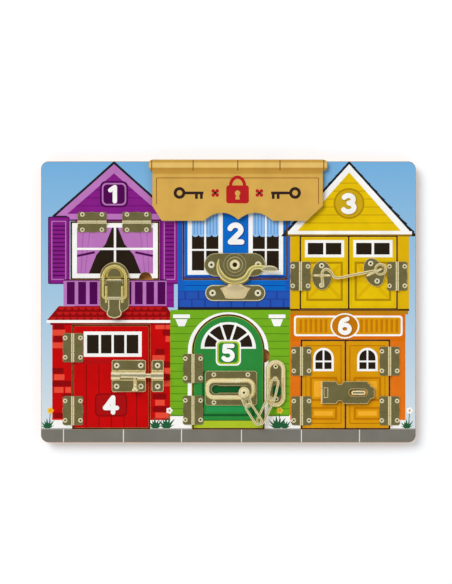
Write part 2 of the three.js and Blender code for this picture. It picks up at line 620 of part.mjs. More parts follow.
// One chain link is a flat stadium of wire round two joints
function linkGeometry(length, z) {
  const straight = length - 2 * link.halfWidth;
  const route = [];
  const stations = 4;
  for (const end of [1, -1]) {
    for (let i = 0; i <= stations; i += 1) {
      const angle = (Math.PI * i) / stations - Math.PI / 2;
      const x = end * (straight / 2 + link.halfWidth * Math.cos(angle));
      route.push([x, end * link.halfWidth * Math.sin(angle)]);
    }
  }
  return closedWire(route, z, link.wire, 6, 24);
}

function chainLatch() {
  const at = [0, 0, faceZ];
  const outline = rectangle(track.left, track.right, track.bottom, track.top, track.corner);
  const ringRadius = (trackRing.top - trackRing.bottom) / 2;
  const ring = rectangle(trackRing.left, trackRing.right, trackRing.bottom, trackRing.top, ringRadius / 2);
  const cavityTop = trackRing.height - trackRing.lip;
  const slotHalf = trackSlot.width / 2;
  const cavityHalf = slider.foot + 2 * fit;
  const cavity = rectangle(
    trackSlot.entryX - cavityHalf,
    trackSlot.endX + cavityHalf,
    trackSlot.y - cavityHalf,
    trackSlot.y + cavityHalf,
    cavityHalf / 2,
  );
  const slot = rectangle(trackSlot.entryX, trackSlot.endX + slotHalf, trackSlot.y - slotHalf, trackSlot.y + slotHalf);
  const entry = new THREE.Shape();
  entry.absarc(trackSlot.entryX, trackSlot.y, trackSlot.entry, 0, fullTurn);
  let rail = join(slab(outline, 0, plate, 3), slab(ring, 0, trackRing.height, 4));
  rail = cutBy(rail, slab(cavity, plate / 2, cavityTop - plate / 2, 4), slab(slot, plate / 2, 2 * trackRing.height));
  rail = cutBy(rail, slab(entry, plate / 2, 2 * trackRing.height, 16));
  const screwTop = (track.top + trackRing.top) / 2;
  const screwBottom = (track.bottom + trackRing.bottom) / 2;
  for (const x of [track.left + track.screwX, track.right - track.screwX]) {
    rail = rail.add(solidOf(screwHead(x, screwTop, plate)));
    rail = rail.add(solidOf(screwHead(x, screwBottom, plate)));
  }
  place("chain_track", rail, "brass", at);

  const headBottom = trackRing.height + fit;
  const headTop = headBottom + slider.headHeight;
  const footBottom = plate / 2 + fit;
  const sliderProfile = [
    [0, footBottom],
    [slider.foot, footBottom],
    [slider.foot, footBottom + slider.footThickness],
    [slider.stem, footBottom + slider.footThickness],
    [slider.stem, headBottom],
    [slider.head, headBottom],
    [slider.head, headTop],
    [slider.knob, headTop + slider.knobHeight],
    [0, headTop + slider.knobHeight],
  ];
  const tabLine = new THREE.Vector2(sliderTab.x - trackSlot.endX, sliderTab.y - trackSlot.y);
  const tabAngle = Math.atan2(tabLine.y, tabLine.x);
  const tabHalf = sliderTab.width / 2;
  const tab = rectangle(0, tabLine.length() + tabHalf, -tabHalf, tabHalf, tabHalf / 2);
  const tabSlab = slab(tab, headBottom, sliderTab.thickness, 4).rotateZ(tabAngle);
  const hole = new THREE.Shape();
  hole.absarc(tabLine.length(), 0, sliderTab.hole, 0, fullTurn);
  const holeCut = slab(hole, 0, 2 * headTop, 10).rotateZ(tabAngle);
  const body = cutBy(join(turned(sliderProfile, 16), tabSlab), holeCut);
  place("chain_slider", body, "brass", [trackSlot.endX, trackSlot.y, faceZ]);

  const anchorHalf = (anchor.right - anchor.left) / 2;
  const anchorShape = rectangle(anchor.left, anchor.right, anchor.bottom, anchor.top, anchorHalf - endFlat);
  const wall = anchor.ringWall;
  const wellShape = rectangle(
    anchor.left + wall,
    anchor.right - wall,
    anchor.bottom + wall,
    anchor.top - wall,
    anchorHalf - wall - endFlat,
  );
  let mount = solidOf(slab(anchorShape, 0, anchor.ringHeight, 8));
  mount = cutBy(mount, slab(wellShape, plate, anchor.ringHeight, 6));
  mount = mount.add(join(screwHead(anchorScrew.topX, anchorScrew.topY, plate - fit)));
  mount = mount.add(join(screwHead(anchorScrew.bottomX, anchorScrew.bottomY, plate - fit)));
  const post = rod([anchorEye.x, anchorEye.y, plate / 2], [anchorEye.x, anchorEye.y, linkZ[0]], anchorEye.wire, 8);
  mount = mount.add(solidOf(post));
  mount = mount.add(solidOf(linkBetween(0)));
  place("chain_anchor", mount, "brass", at);
  place("chain_link_1", linkBetween(1), "brass", at);
  place("chain_link_2", linkBetween(2), "brass", at);
}

// Link i runs from joint i to joint i + 1, long enough that its wire passes round both
function linkBetween(i) {
  const from = new THREE.Vector2(...linkJoints[i]);
  const to = new THREE.Vector2(...linkJoints[i + 1]);
  const line = to.clone().sub(from);
  const middle = from.clone().add(to).multiplyScalar(0.5);
  const geometry = linkGeometry(line.length() + 2 * link.wire, 0);
  geometry.rotateZ(Math.atan2(line.y, line.x));
  return geometry.translate(middle.x, middle.y, linkZ[i]);
}

function haspLatch() {
  const at = [0, 0, faceZ];
  const tall = hasp.height / 2;
  const barrelX = hasp.left + hasp.barrel;
  const barrelZ = hasp.barrel + hinge.lift;
  const strapBottom = barrelZ + hasp.barrel - hasp.sheet;
  const shoulder = hasp.right - hasp.tip;
  const outline = new THREE.Shape();
  const cutShare = 0.55;
  outline.moveTo(barrelX, hasp.y - tall).lineTo(shoulder, hasp.y - tall);
  outline.lineTo(shoulder + cutShare * hasp.tip, hasp.y - hasp.tipHalf - overrun);
  outline.lineTo(hasp.right, hasp.y - hasp.tipHalf).lineTo(hasp.right, hasp.y + hasp.tipHalf);
  outline.lineTo(shoulder + cutShare * hasp.tip, hasp.y + hasp.tipHalf + overrun);
  outline.lineTo(shoulder, hasp.y + tall).lineTo(barrelX, hasp.y + tall);
  const notch = (y) => {
    const shape = new THREE.Shape();
    shape.absarc(haspNotch.x, y, haspNotch.radius, 0, fullTurn);
    return slab(shape, strapBottom - overrun, hasp.sheet + 2 * overrun, 10);
  };
  const slotHalf = haspSlot.height / 2;
  const slotShape = rectangle(haspSlot.left, haspSlot.right, hasp.y - slotHalf, hasp.y + slotHalf, slotHalf - endFlat);
  const axis = (y) => [barrelX, y, barrelZ];
  const gapHalf = haspBase.knuckle + fit;
  const gapRight = barrelX + hasp.barrel + fit;
  const gap = rectangle(barrelX - 2 * hasp.barrel, gapRight, hasp.y - gapHalf, hasp.y + gapHalf);
  const knuckleCut = slab(gap, -overrun, 2 * barrelZ + 2 * overrun);
  const strapBarrel = rod(axis(hasp.y - tall), axis(hasp.y + tall), hasp.barrel, 12);
  let strap = join(slab(outline, strapBottom, hasp.sheet), strapBarrel);
  strap = cutBy(strap, notch(hasp.y - tall), notch(hasp.y + tall));
  strap = cutBy(strap, slab(slotShape, strapBottom - overrun, hasp.sheet + 2 * overrun, 6), knuckleCut);
  const pinRadius = hasp.barrel / 2;
  strap = strap.add(solidOf(rod(axis(hasp.y - tall), axis(hasp.y + tall), pinRadius, 8)));
  place("hasp_strap", strap, "brass", at);

  const basePlate = rectangle(barrelX, barrelX + haspBase.length, hasp.y - haspBase.half, hasp.y + haspBase.half);
  const thin = strapBottom - fit;
  let base = solidOf(slab(basePlate, 0, thin));
  const barrelRoom = rectangle(barrelX - fit, gapRight, hasp.y - tall, hasp.y + tall);
  base = cutBy(base, slab(barrelRoom, -overrun, 2 * barrelZ));
  const low = hasp.y - haspBase.knuckle;
  const high = hasp.y + haspBase.knuckle;
  const wrap = slab(rectangle(barrelX, barrelX + 2 * hasp.barrel, low, high), 0, thin);
  base = base.add(join(rod(axis(low), axis(high), hasp.barrel, 12), wrap));
  base = cutBy(base, rod(axis(hasp.y - tall), axis(hasp.y + tall), pinRadius + fit / 2, 8));
  place("hasp_base", base, "brass", at);

  const washer = new THREE.Shape();
  washer.absarc(staple.x, hasp.y, staple.washer, 0, fullTurn);
  const headHalf = staple.width / 2;
  const long = staple.length / 2;
  const headShape = rectangle(staple.x - long, staple.x + long, hasp.y - headHalf, hasp.y + headHalf, headHalf - endFlat);
  const neck = rod([staple.x, hasp.y, 0], [staple.x, hasp.y, staple.top - staple.head / 2], staple.neck, 10);
  const head = slab(headShape, staple.top - staple.head, staple.head, 6);
  place("hasp_staple", join(slab(washer, 0, plate, 10), neck, head), "brass", at);
}

function headerCard() {
  const sheetBottom = faceZ + card.lift;
  const outline = new THREE.Shape();
  const cusp = card.bottom + cardScallop.cusp;
  outline.moveTo(card.left, card.bottom + cardCut.rise).lineTo(card.left + cardCut.left, card.bottom);
  const span = 2 * cardScallop.half;
  const crest = card.bottom + 2 * cardScallop.rise;
  outline.lineTo(cardScallop.x - span, card.bottom);
  outline.quadraticCurveTo(cardScallop.x - cardScallop.half, crest, cardScallop.x, cusp);
  outline.quadraticCurveTo(cardScallop.x + cardScallop.half, crest, cardScallop.x + span, card.bottom);
  outline.lineTo(card.right - cardCut.right, card.bottom).lineTo(card.right, card.bottom + cardCut.rise);
  outline.lineTo(card.right, cardRail.bottom).lineTo(card.left, cardRail.bottom);
  const rail = rectangle(cardRail.left, cardRail.right, cardRail.bottom, card.top, cardRail.end);
  const railBottom = faceZ + cardRail.foot;
  const railHeight = card.lift - cardRail.foot + card.sheet;
  const sheet = slab(outline, sheetBottom, card.sheet, 8);
  place("header_card", join(sheet, slab(rail, railBottom, railHeight, 4)), "cardboard");
}

boards();
doors();
hinges();
drawLatch();
sashLock();
hookAndEyes();
slideBolt();
chainLatch();
haspLatch();
headerCard();

export default root;
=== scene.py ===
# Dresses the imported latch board: printed wooden faces, brass latches and hinges, floor, lights and camera.
# Lengths in the tables are millimetres in the board's own frame. Meshes are made in metres.
from math import cos, dist, hypot, pi, radians, sin, sqrt, tan

import bmesh
import bpy
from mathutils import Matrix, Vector
from mathutils.geometry import delaunay_2d_cdt


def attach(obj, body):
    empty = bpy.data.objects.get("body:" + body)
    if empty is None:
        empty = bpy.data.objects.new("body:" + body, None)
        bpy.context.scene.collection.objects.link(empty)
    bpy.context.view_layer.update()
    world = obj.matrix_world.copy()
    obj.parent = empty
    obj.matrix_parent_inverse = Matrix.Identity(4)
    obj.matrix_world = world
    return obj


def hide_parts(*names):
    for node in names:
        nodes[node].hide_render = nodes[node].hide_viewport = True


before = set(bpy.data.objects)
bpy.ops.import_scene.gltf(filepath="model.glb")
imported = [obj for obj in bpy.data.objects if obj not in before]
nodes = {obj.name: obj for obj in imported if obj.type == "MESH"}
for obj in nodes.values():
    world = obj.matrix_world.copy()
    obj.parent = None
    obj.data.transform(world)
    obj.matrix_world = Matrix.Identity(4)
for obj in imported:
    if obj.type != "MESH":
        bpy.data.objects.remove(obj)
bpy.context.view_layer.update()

MM = 0.001
# Heights of the back board's front, the front board's front and the header card's front
BACK = 3.0
FACE = 11.0
CARD = 15.35
# Paint lies this far over its wood
LIFT = 0.03
# Thickness of a stamped brass plate
PLATE = 1.2


def placed(name, data):
    thing = bpy.data.objects.new(name, data)
    bpy.context.scene.collection.objects.link(thing)
    return thing


# Materials
def linear(value):
    value /= 255.0
    return value / 12.92 if value <= 0.04045 else ((value + 0.055) / 1.055) ** 2.4


def colour(rgb, factor=1.0):
    return (*[min(1.0, linear(v) * factor) for v in rgb], 1.0)


def new_material(name):
    material = bpy.data.materials.new(name)
    material.use_nodes = True
    tree = material.node_tree
    return material, tree, tree.nodes["Principled BSDF"]


def link(a, b):
    a.id_data.links.new(a, b)


def put(node, values):
    for name, value in values.items():
        node.inputs[name].default_value = value


def new_node(tree, kind, values=None):
    node = tree.nodes.new("ShaderNode" + kind)
    put(node, values or {})
    return node


def axis(tree, space, letter):
    """One coordinate of the shaded point."""
    coords = new_node(tree, "TexCoord")
    split = new_node(tree, "SeparateXYZ")
    link(coords.outputs[space], split.inputs["Vector"])
    return split.outputs[letter]


def noise(tree, scale, detail=3.0, stretch=(1, 1, 1)):
    coords = new_node(tree, "TexCoord")
    mapping = new_node(tree, "Mapping", {"Scale": stretch})
    texture = new_node(tree, "TexNoise", {"Scale": scale, "Detail": detail})
    link(coords.outputs["Object"], mapping.inputs["Vector"])
    link(mapping.outputs["Vector"], texture.inputs["Vector"])
    return texture.outputs["Fac"]


def ramp(tree, source, stops):
    node = new_node(tree, "ValToRGB")
    elements = node.color_ramp.elements
    for i in (0, 1):
        elements[i].position, elements[i].color = stops[i]
    for position, value in stops[2:]:
        elements.new(position).color = value
    link(source, node.inputs["Fac"])
    return node.outputs["Color"]


def two_tone(tree, shader, source, dark, light, low=0.3):
    """A base colour that varies softly between dark and light."""
    link(ramp(tree, source, [(low, dark), (1 - low, light)]), shader.inputs["Base Color"])


def span(tree, source, low, high, start=0.25, end=0.75):
    node = new_node(tree, "MapRange", {"From Min": start, "From Max": end, "To Min": low, "To Max": high})
    link(source, node.inputs["Value"])
    return node.outputs["Result"]


def bump(tree, shader, height, strength, distance):
    node = new_node(tree, "Bump", {"Strength": strength, "Distance": distance * MM})
    link(height, node.inputs["Height"])
    link(node.outputs["Normal"], shader.inputs["Normal"])


def varnish(tree, shader):
    """A thin, slightly uneven varnish over the print, with a faint orange peel."""
    link(span(tree, noise(tree, 140.0), 0.34, 0.46), shader.inputs["Roughness"])
    put(shader, {"Specular IOR Level": 0.12, "Coat Weight": 0.03, "Coat Roughness": 0.2})
    bump(tree, shader, noise(tree, 900.0, 2.0), 0.12, 0.05)


paints = {}


def paint(rgb):
    """Printed and varnished colour with a slight mottle."""
    if rgb not in paints:
        material, tree, shader = new_material("print_%02x%02x%02x" % rgb)
        two_tone(tree, shader, noise(tree, 60.0, 4.0), colour(rgb, 0.93), colour(rgb, 1.05))
        varnish(tree, shader)
        paints[rgb] = material
    return paints[rgb]


def sky_paint():
    """Blue at the top of the board, paler towards the street."""
    material, tree, shader = new_material("print_sky")
    height = span(tree, axis(tree, "Object", "Y"), 0, 1, -135 * MM, 150 * MM)
    stops = ((0.0, (214, 224, 230)), (1.0, (116, 176, 222)), (0.45, (168, 202, 226)))
    stops = [(place, colour(rgb)) for place, rgb in stops]
    link(ramp(tree, height, stops), shader.inputs["Base Color"])
    varnish(tree, shader)
    return material


ALONG_X, ALONG_Y = (0.12, 1.0, 1.0), (1.0, 0.12, 1.0)


def wood_material(name, light, dark, stretch=ALONG_X):
    material, tree, shader = new_material(name)
    grain = noise(tree, 260.0, 6.0, stretch)
    two_tone(tree, shader, grain, colour(dark), colour(light), 0.35)
    link(span(tree, grain, 0.55, 0.7), shader.inputs["Roughness"])
    bump(tree, shader, grain, 0.25, 0.15)
    return material


def plain_material(name, light, dark, rough, metallic=1.0, patches=(90.0, 4.0), brushed=None):
    """Plated brass with patchy tarnish, on the sheet also fine brushing, or paper with fine patches."""
    material, tree, shader = new_material(name)
    two_tone(tree, shader, noise(tree, *patches), colour(dark), colour(light))
    put(shader, {"Metallic": metallic, "Roughness": rough})
    if brushed:
        strokes = noise(tree, 1400.0, 3.0, brushed)
        link(span(tree, strokes, rough - 0.02, rough + 0.04), shader.inputs["Roughness"])
    return material


SKY = sky_paint()
BOARD_WOOD = wood_material("board_edge_wood", (196, 142, 84), (150, 102, 56))
BACK_WOOD = wood_material("back_board_wood", (238, 180, 100), (212, 148, 70))
DOOR_WOOD = wood_material("door_back_wood", (178, 132, 80), (138, 96, 54), ALONG_Y)
BRASS = plain_material("brass_sheet", (228, 216, 148), (210, 198, 130), 0.27, brushed=(1.0, 0.25, 1.0))
# Paler, less metallic copy of the sheet brass: a painted highlight on edges, rims, rods and knuckles
BRASS_HIGHLIGHT = plain_material("brass_painted_highlight", (255, 246, 204), (250, 236, 186), 0.2, 0.84)
# Paler copy of the sheet brass: a painted sheen on the chain latch's ridges, slider and knob
BRASS_SHEEN = plain_material("brass_painted_sheen", (255, 246, 202), (255, 236, 176), 0.27, 0.8)
# Pale wire brass: a painted highlight on the chain's links and the hook
WIRE_HIGHLIGHT = plain_material("brass_wire_painted_highlight", (255, 246, 200), (255, 238, 180), 0.2, 0.86)
# Pale, less metallic brass: a painted highlight on the sash keeper's hood
HOOD_HIGHLIGHT = plain_material("brass_hood_painted_highlight", (250, 232, 184), (244, 222, 166), 0.5, 0.75)
# Yellower pale brass: painted yellow highlights on the draw latch's loop, hood rim and lever sides, and the
# sash lever
GOLD_HIGHLIGHT = plain_material("brass_gold_painted_highlight", (255, 242, 164), (252, 232, 140), 0.26, 0.82)
# Near-white, half-metallic brass: a painted highlight on the screw heads' rings
HEAD_HIGHLIGHT = plain_material("brass_head_painted_highlight", (255, 250, 222), (255, 244, 204), 0.3, 0.55)
# Dark brass for hollows: painted shade in screw recesses and the centres of the boss and knob
RECESS_SHADE = plain_material("painted_recess_shade", (90, 78, 44), (60, 50, 26), 0.5)
CARD_SIDE = plain_material("card_edge", (202, 164, 98), (188, 148, 82), 0.7, 0.0, (420.0, 5.0))

# Colours of the print
WHITE = (250, 249, 246)
DARK = (38, 28, 18)
SLATE = (30, 33, 38)
PURPLE = (134, 28, 134)
PURPLE_LINE = (104, 14, 112)
PURPLE_DARK = (78, 4, 80)
LILAC = (188, 118, 188)
RED = (198, 4, 6)
RED_DARK = (142, 4, 8)
BRICK = (234, 76, 54)
BLUE = (8, 106, 200)
BLUE_DARK = (30, 62, 150)
BLUE_LINE = (6, 66, 150)
PALE_BLUE = (146, 194, 240)
LIME = (116, 174, 30)
LIME_LINE = (82, 136, 22)
LIME_LIGHT = (174, 196, 40)
GREEN = (44, 138, 60)
GREEN_DARK = (20, 92, 42)
GRASS = (120, 180, 90)
YELLOW = (230, 192, 4)
YELLOW_LINE = (196, 152, 6)
YELLOW_DARK = (178, 138, 4)
YELLOW_WARM = (222, 178, 4)
ORANGE = (220, 110, 2)
AMBER = (218, 152, 4)
AMBER_DARK = (196, 118, 2)
AMBER_LINE = (166, 96, 4)
GREY = (120, 118, 109)
LEAF = (34, 92, 56)
TAN = (214, 170, 82)
TAN_DARK = (146, 100, 44)
TAN_LIGHT = (232, 192, 108)
INK = (52, 34, 30)
CARD_RED = (186, 30, 34)

# Print shapes: each is (points, colour), and later ones lie over earlier ones
art = []


def add(points, rgb):
    art.append((points, rgb))


def box(l, r, b, t):
    return [(l, b), (r, b), (r, t), (l, t)]


def curve(cx, cy, rx, ry, start, end, steps=10):
    """Points along an elliptic arc, its angles in degrees."""
    angles = [radians(start + (end - start) * i / steps) for i in range(steps + 1)]
    return [(cx + rx * cos(a), cy + ry * sin(a)) for a in angles]


def arc(cx, cy, radius, start, end, steps=10):
    return curve(cx, cy, radius, radius, start, end, steps)


def on_circle(x, y, radius, degrees):
    return arc(x, y, radius, degrees, degrees, 1)[0]


def rounded(l, r, b, t, radius, steps=8):
    left, right, low, high = l + radius, r - radius, b + radius, t - radius
    corners = ((right, low, -90), (right, high, 0), (left, high, 90), (left, low, 180))
    return [point for x, y, start in corners for point in arc(x, y, radius, start, start + 90, steps)]


def every(start, end, pitch):
    """Places from start to before end, a pitch apart."""
    places = []
    while start < end:
        places.append(start)
        start += pitch
    return places


def rect(l, r, b, t, rgb):
    add(box(l, r, b, t), rgb)


def ellipse(x, y, rx, ry, rgb, sides=32, start=0, end=360):
    points = curve(x, y, rx, ry, start, end, sides)
    add(points[:-1] if end - start == 360 else points, rgb)


def disc(x, y, radius, rgb, sides=32):
    ellipse(x, y, radius, radius, rgb, sides)


def panel(l, r, b, t, *layers):
    """Boxes inside each other, each layer an (inset, colour)."""
    for inset, rgb in layers:
        rect(l + inset, r - inset, b + inset, t - inset, rgb)


def plaque(l, r, b, t, *layers):
    """Round-cornered boxes inside each other, each layer an (inset, radius, colour)."""
    for inset, radius, rgb in layers:
        add(rounded(l + inset, r - inset, b + inset, t - inset, radius, 5), rgb)


def line(p, q, width, rgb):
    dx, dy = q[0] - p[0], q[1] - p[1]
    length = hypot(dx, dy)
    nx, ny = -dy / length * width / 2, dx / length * width / 2
    add([(x + nx * side, y + ny * side) for (x, y), side in ((p, 1), (p, -1), (q, -1), (q, 1))], rgb)


def stroke(points, width, rgb):
    for p, q in zip(points, points[1:]):
        line(p, q, width, rgb)
    for x, y in points:
        disc(x, y, width / 2, rgb, 12)


def flower(x, y, count, reach, size, rgb, sides, middle, middle_rgb, start=0):
    for i in range(count):
        disc(*on_circle(x, y, reach, start + 360 / count * i), size, rgb, sides)
    disc(x, y, middle, middle_rgb, sides)


# Strokes in a box one unit high, with y up from the foot
DIGITS = {
    "1": [[(0.02, 0.78), (0.3, 1.0), (0.3, 0.0)]],
    "2": [arc(0.3, 0.72, 0.28, 165, -35) + [(0.04, 0.0), (0.62, 0.0)]],
    "3": [curve(0.28, 0.76, 0.26, 0.24, 150, -80) + curve(0.28, 0.26, 0.3, 0.27, 85, -150)],
    "4": [[(0.46, 0.0), (0.46, 1.0), (0.0, 0.3), (0.68, 0.3)]],
    "5": [[(0.56, 1.0), (0.1, 1.0), (0.07, 0.6)] + curve(0.27, 0.31, 0.3, 0.31, 110, -145)],
    "6": [[(0.46, 1.0)] + curve(0.32, 0.34, 0.3, 0.62, 120, 180, 5) + arc(0.3, 0.29, 0.29, 180, 540, 16)],
}


def digit(which, x, y, height, edge):
    """A white number over a wider one in the edge colour, which is set off like a shadow."""
    left, foot = x - 0.3 * height, y - height / 2
    for width, rgb, dx, dy in ((0.34, edge, 0.6, -0.5), (0.27, WHITE, 0.0, 0.0)):
        for points in DIGITS[which]:
            points = [
                (left + px * height + dx, foot + (0.86 * py + 0.07) * height + dy) for px, py in points
            ]
            stroke(points, width * height, rgb)


def siding(l, r, b, t, pitch, rgb, width=0.9):
    y = t - pitch
    while y > b + 1:
        line((l, y), (r, y), width, rgb)
        y -= pitch


def window(l, r, b, t, frame_width, columns, rows, bar):
    rect(l, r, b, t, WHITE)
    l, r, b, t = l + frame_width, r - frame_width, b + frame_width, t - frame_width
    rect(l, r, b, t, DARK)
    for i in range(1, columns):
        x = l + (r - l) * i / columns
        rect(x - bar / 2, x + bar / 2, b, t, WHITE)
    for i in range(1, rows):
        y = b + (t - b) * i / rows
        rect(l, r, y - bar / 2, y + bar / 2, WHITE)


def gable(x, y, half, eaves, board_rgb, trim_rgb, line_rgb, trim_width):
    """A front gable with its apex at x, y: dark slates, a bargeboard and lapped boards."""
    add([(x - half - 7, eaves - 4), (x + half + 7, eaves - 4), (x, y + 3.5)], SLATE)
    for side in (-1, 1):
        for i in range(9):
            share = (i + 0.35) / 9
            px, py = x + side * (half + 5) * share, y + 2 - (y - eaves + 4) * share
            add([(px - side * 4, py + 4.5), (px + side * 4.5, py - 3), (px - side, py - 3)], SLATE)
    add([(x - half, eaves), (x + half, eaves), (x, y)], trim_rgb)
    half, foot, peak = half - trim_width * 2.4, eaves + trim_width * 0.4, y - trim_width * 1.95
    add([(x - half, foot), (x + half, foot), (x, peak)], board_rgb)
    pitch = 8.5
    for level in every(foot + pitch, peak - 7, pitch):
        width = half * (peak - level) / (peak - foot)
        line((x - width, level), (x + width, level), 0.9, line_rgb)


STREET = -135


def tuft(x, scale=1.0, petals=None):
    """A tuft of grass at the street's edge, and a flower if petals has a colour."""
    wide = 3.2 * scale
    for angle, size in ((156, 11), (134, 14), (112, 12), (94, 15), (70, 13), (50, 16), (26, 11)):
        add([(x - wide, STREET), (x + wide, STREET), on_circle(x, STREET, size * scale, angle)], LEAF)
    if petals:
        line((x + 2, -130), (x + 3, -117), 0.8, LEAF)
        flower(x + 3, -116, 5, 2, 1.6, petals, 10, 1.2, AMBER)


# Upper left house
rect(-164, -58, -6, 96, PURPLE)
siding(-164, -58, -6, 26, 8, PURPLE_LINE)
gable(-122, 147, 62, 92, PURPLE, LILAC, PURPLE_LINE, 5)
rect(-172, -70, 86.5, 93, LILAC)
rect(-172, -70, 86.5, 88, PURPLE_DARK)
plaque(-137, -107, 101, 129, (0, 6, PURPLE_DARK), (2, 5, LILAC), (3.6, 4, PURPLE_DARK))
digit("1", -121.2, 115, 17.6, PURPLE_LINE)
# Plain louvred shutters
for l, r in ((-192.5, -169.5), (-72.5, -53)):
    plaque(l, r, 19, 91, (0, 1.6, PURPLE_DARK), (1, 1.2, PURPLE))
    panel(l + 3.6, r - 3.6, 23.5, 86.5, (0, LILAC), (1, PURPLE))
    for y in every(27.5, 84, 4.4):
        rect(l + 4.6, r - 4.6, y, y + 1.3, PURPLE_DARK)
# Balcony
rect(-176, -66, -4.2, 24.2, LILAC)
rect(-176, -66, 22.6, 24.2, PURPLE_DARK)
for i in range(9):
    x = -172.4 + i * 12.1
    rect(x, x + 8.4, -2.6, 21.4, PURPLE_DARK)
# The flap: a white casement with plain tied curtains, alike about x -121
window(-166.6, -75.4, 25.2, 84.4, 5, 1, 1, 2)
curtain = [(-161.6, 30.2), (-161.6, 79.4), (-124, 79.4), (-131, 62), (-141, 50), (-149, 30.2)]
add(curtain, LILAC)
add([(-242 - x, y) for x, y in curtain], LILAC)
for side, x in ((1, -161.6), (-1, -80.4)):
    for k in (7, 14):
        line((x + side * k, 79.2), (x + side * k * 0.62, 31), 0.8, (164, 92, 172))
    line((x, 49), (x + side * 19, 53), 2.4, PURPLE_DARK)
rect(-122.2, -119.8, 30, 80, WHITE)
rect(-162, -80, 55.4, 57.8, WHITE)

# Upper middle house
rect(-54, 66.4, -6, 140, BLUE)
siding(-54, 65, 11, 24, 6.5, BLUE_LINE)
siding(-54, 65, 104, 140, 8, BLUE_LINE)
rect(-54, 65, -6, 12, BLUE_DARK)
for start, y in ((-60, 3.4), (-53, -5.4)):
    for x in every(start, 65, 14):
        left, right = max(-54, x + 0.8), min(65, x + 13.2)
        if right - left > 2:
            rect(left, right, y, y + 7.8, (36, 82, 178))
rect(-54, 66.4, -8.6, -5.6, SLATE)
rect(-54, -46.5, 13, 112, (22, 92, 188))
rect(60.8, 65, 13, 112, (22, 92, 188))
# The flap: two sash windows under plain striped blinds
rect(-47, 61.8, 25.1, 105.3, BLUE)
rect(-47, 61.8, 25.1, 27.6, BLUE_DARK)
for l, r in ((-43.5, -6), (21.5, 58.5)):
    window(l, r, 29, 104, 4.6, 2, 3, 1.9)
    rect(l + 4.6, r - 4.6, 72, 99.4, PALE_BLUE)
    for x in every(l + 6.4, r - 5.6, 3.4):
        rect(x, x + 1.3, 72, 99.4, (108, 160, 220))
    for i in range(4):
        ellipse(l + 8.2 + i * 7, 72, 3.4, 2.6, PALE_BLUE, 16, 180, 360)
    middle = (l + r) / 2
    rect(middle - 1, middle + 1, 33, 99.4, WHITE)
digit("2", 7.6, 73, 21, BLUE_DARK)

# Upper right house
rect(66, 193, -8, 72, YELLOW)
siding(66, 193, -8, 66, 9, YELLOW_LINE, 0.7)
gable(129, 147, 66, 74, YELLOW, WHITE, YELLOW_LINE, 4.5)
rect(62, 196, 71.6, 75.4, WHITE)
rect(62, 196, 70.8, 72.2, YELLOW_DARK)
disc(128.8, 105, 16.5, YELLOW_DARK, 40)
disc(128.8, 105, 14.6, (206, 168, 22), 40)
digit("3", 128.6, 105, 20, YELLOW_DARK)
rect(66, 76, -8, 70, YELLOW_WARM)
rect(181, 193, -8, 70, YELLOW_WARM)
rect(66, 193, -9.8, -7.4, (72, 42, 10))
# Two barn doors with braced panels
for l, r in ((77.8, 127.6), (129.4, 179.2)):
    panel(l, r, -6.8, 69.4, (0, YELLOW), (1.4, YELLOW_WARM), (2.2, YELLOW))
    window(l + 4, r - 4, 47.6, 66, 3, 2, 1, 2.6)
    panel(l + 5.4, r - 5.4, 1, 43, (0, YELLOW_DARK), (2.4, YELLOW))
    line((l + 8.4, 4.4), (r - 8.4, 39.6), 3.4, YELLOW_WARM)
    line((l + 8.4, 39.6), (r - 8.4, 4.4), 3.4, YELLOW_WARM)
    rect(l + 7.8, r - 7.8, 20.2, 24, YELLOW_WARM)

# Lower left house
rect(-188, -61, -134.5, -18, RED)
# Bricks at both sides of the door, from x l to r, in columns of (number, start)
widths = (13, 10, 15, 11)
for l, r, columns in ((-188, -168, ((0, -188), (1, -176))), (-82, -61, ((2, -80), (3, -69)))):
    for row in range(16):
        for i, start in columns:
            pick = (row * 5 + i * 3) % 7
            if pick in (0, 2, 4, 5):
                x, y = start + row % 2 * 3 - 1, -131 + row * 6.8
                end = min(r, x + widths[(row + i) % 4])
                rect(max(l, x), end, y, min(-24, y + 6), BRICK if pick in (0, 4) else RED_DARK)
rect(-188, -61, -134.5, -126.2, WHITE)
# Roof with rows of round slates
add([(-194, -20), (-56, -20), (-66, -4.5), (-181, -4.5)], RED_DARK)
for y, start, end in ((-5.2, -178, -68), (-10.6, -180.2, -64), (-16, -187, -60)):
    for x in every(start, end, 7.4):
        ellipse(x, y, 3.4, 3.4, (188, 22, 22), 12, 180, 360)
rect(-194, -56, -22.4, -19.4, WHITE)
rect(-190, -59, -24.6, -22.4, RED_DARK)
# The door: planks, a wide window and a plain plaque
rect(-165.1, -85.1, -134.3, -25.7, RED)
for x in (-151.6, -138.2, -124.8, -111.4, -98):
    rect(x - 0.5, x + 0.5, -134.3, -62, RED_DARK)
rect(-165.1, -85.1, -66.4, -61.8, (182, 10, 14))
window(-154.5, -92.5, -58.6, -31.6, 3.6, 4, 1, 2.4)
plaque(-142.5, -108, -122.4, -97.6, (0, 5, RED_DARK), (1.5, 4.2, (172, 10, 14)))
digit("4", -126, -110, 18.5, RED_DARK)

# Lower middle house
rect(-62, 66.4, -124, -8.6, LIME)
siding(-62, 65, -124, -10, 8, LIME_LINE)
rect(-62, 66.4, -136, -121, WHITE)
rect(-62, 65, -122, -120.4, LIME_LINE)
# Brackets under the eaves
for x in (-50, 52):
    rect(x - 9, x + 9, -17.4, -13.4, WHITE)
    add([(x - 7, -17), (x + 7, -17), (x + 3.4, -26), (x - 3.4, -26)], WHITE)
    rect(x - 7.6, x + 7.6, -18.4, -17.4, LIME_LINE)
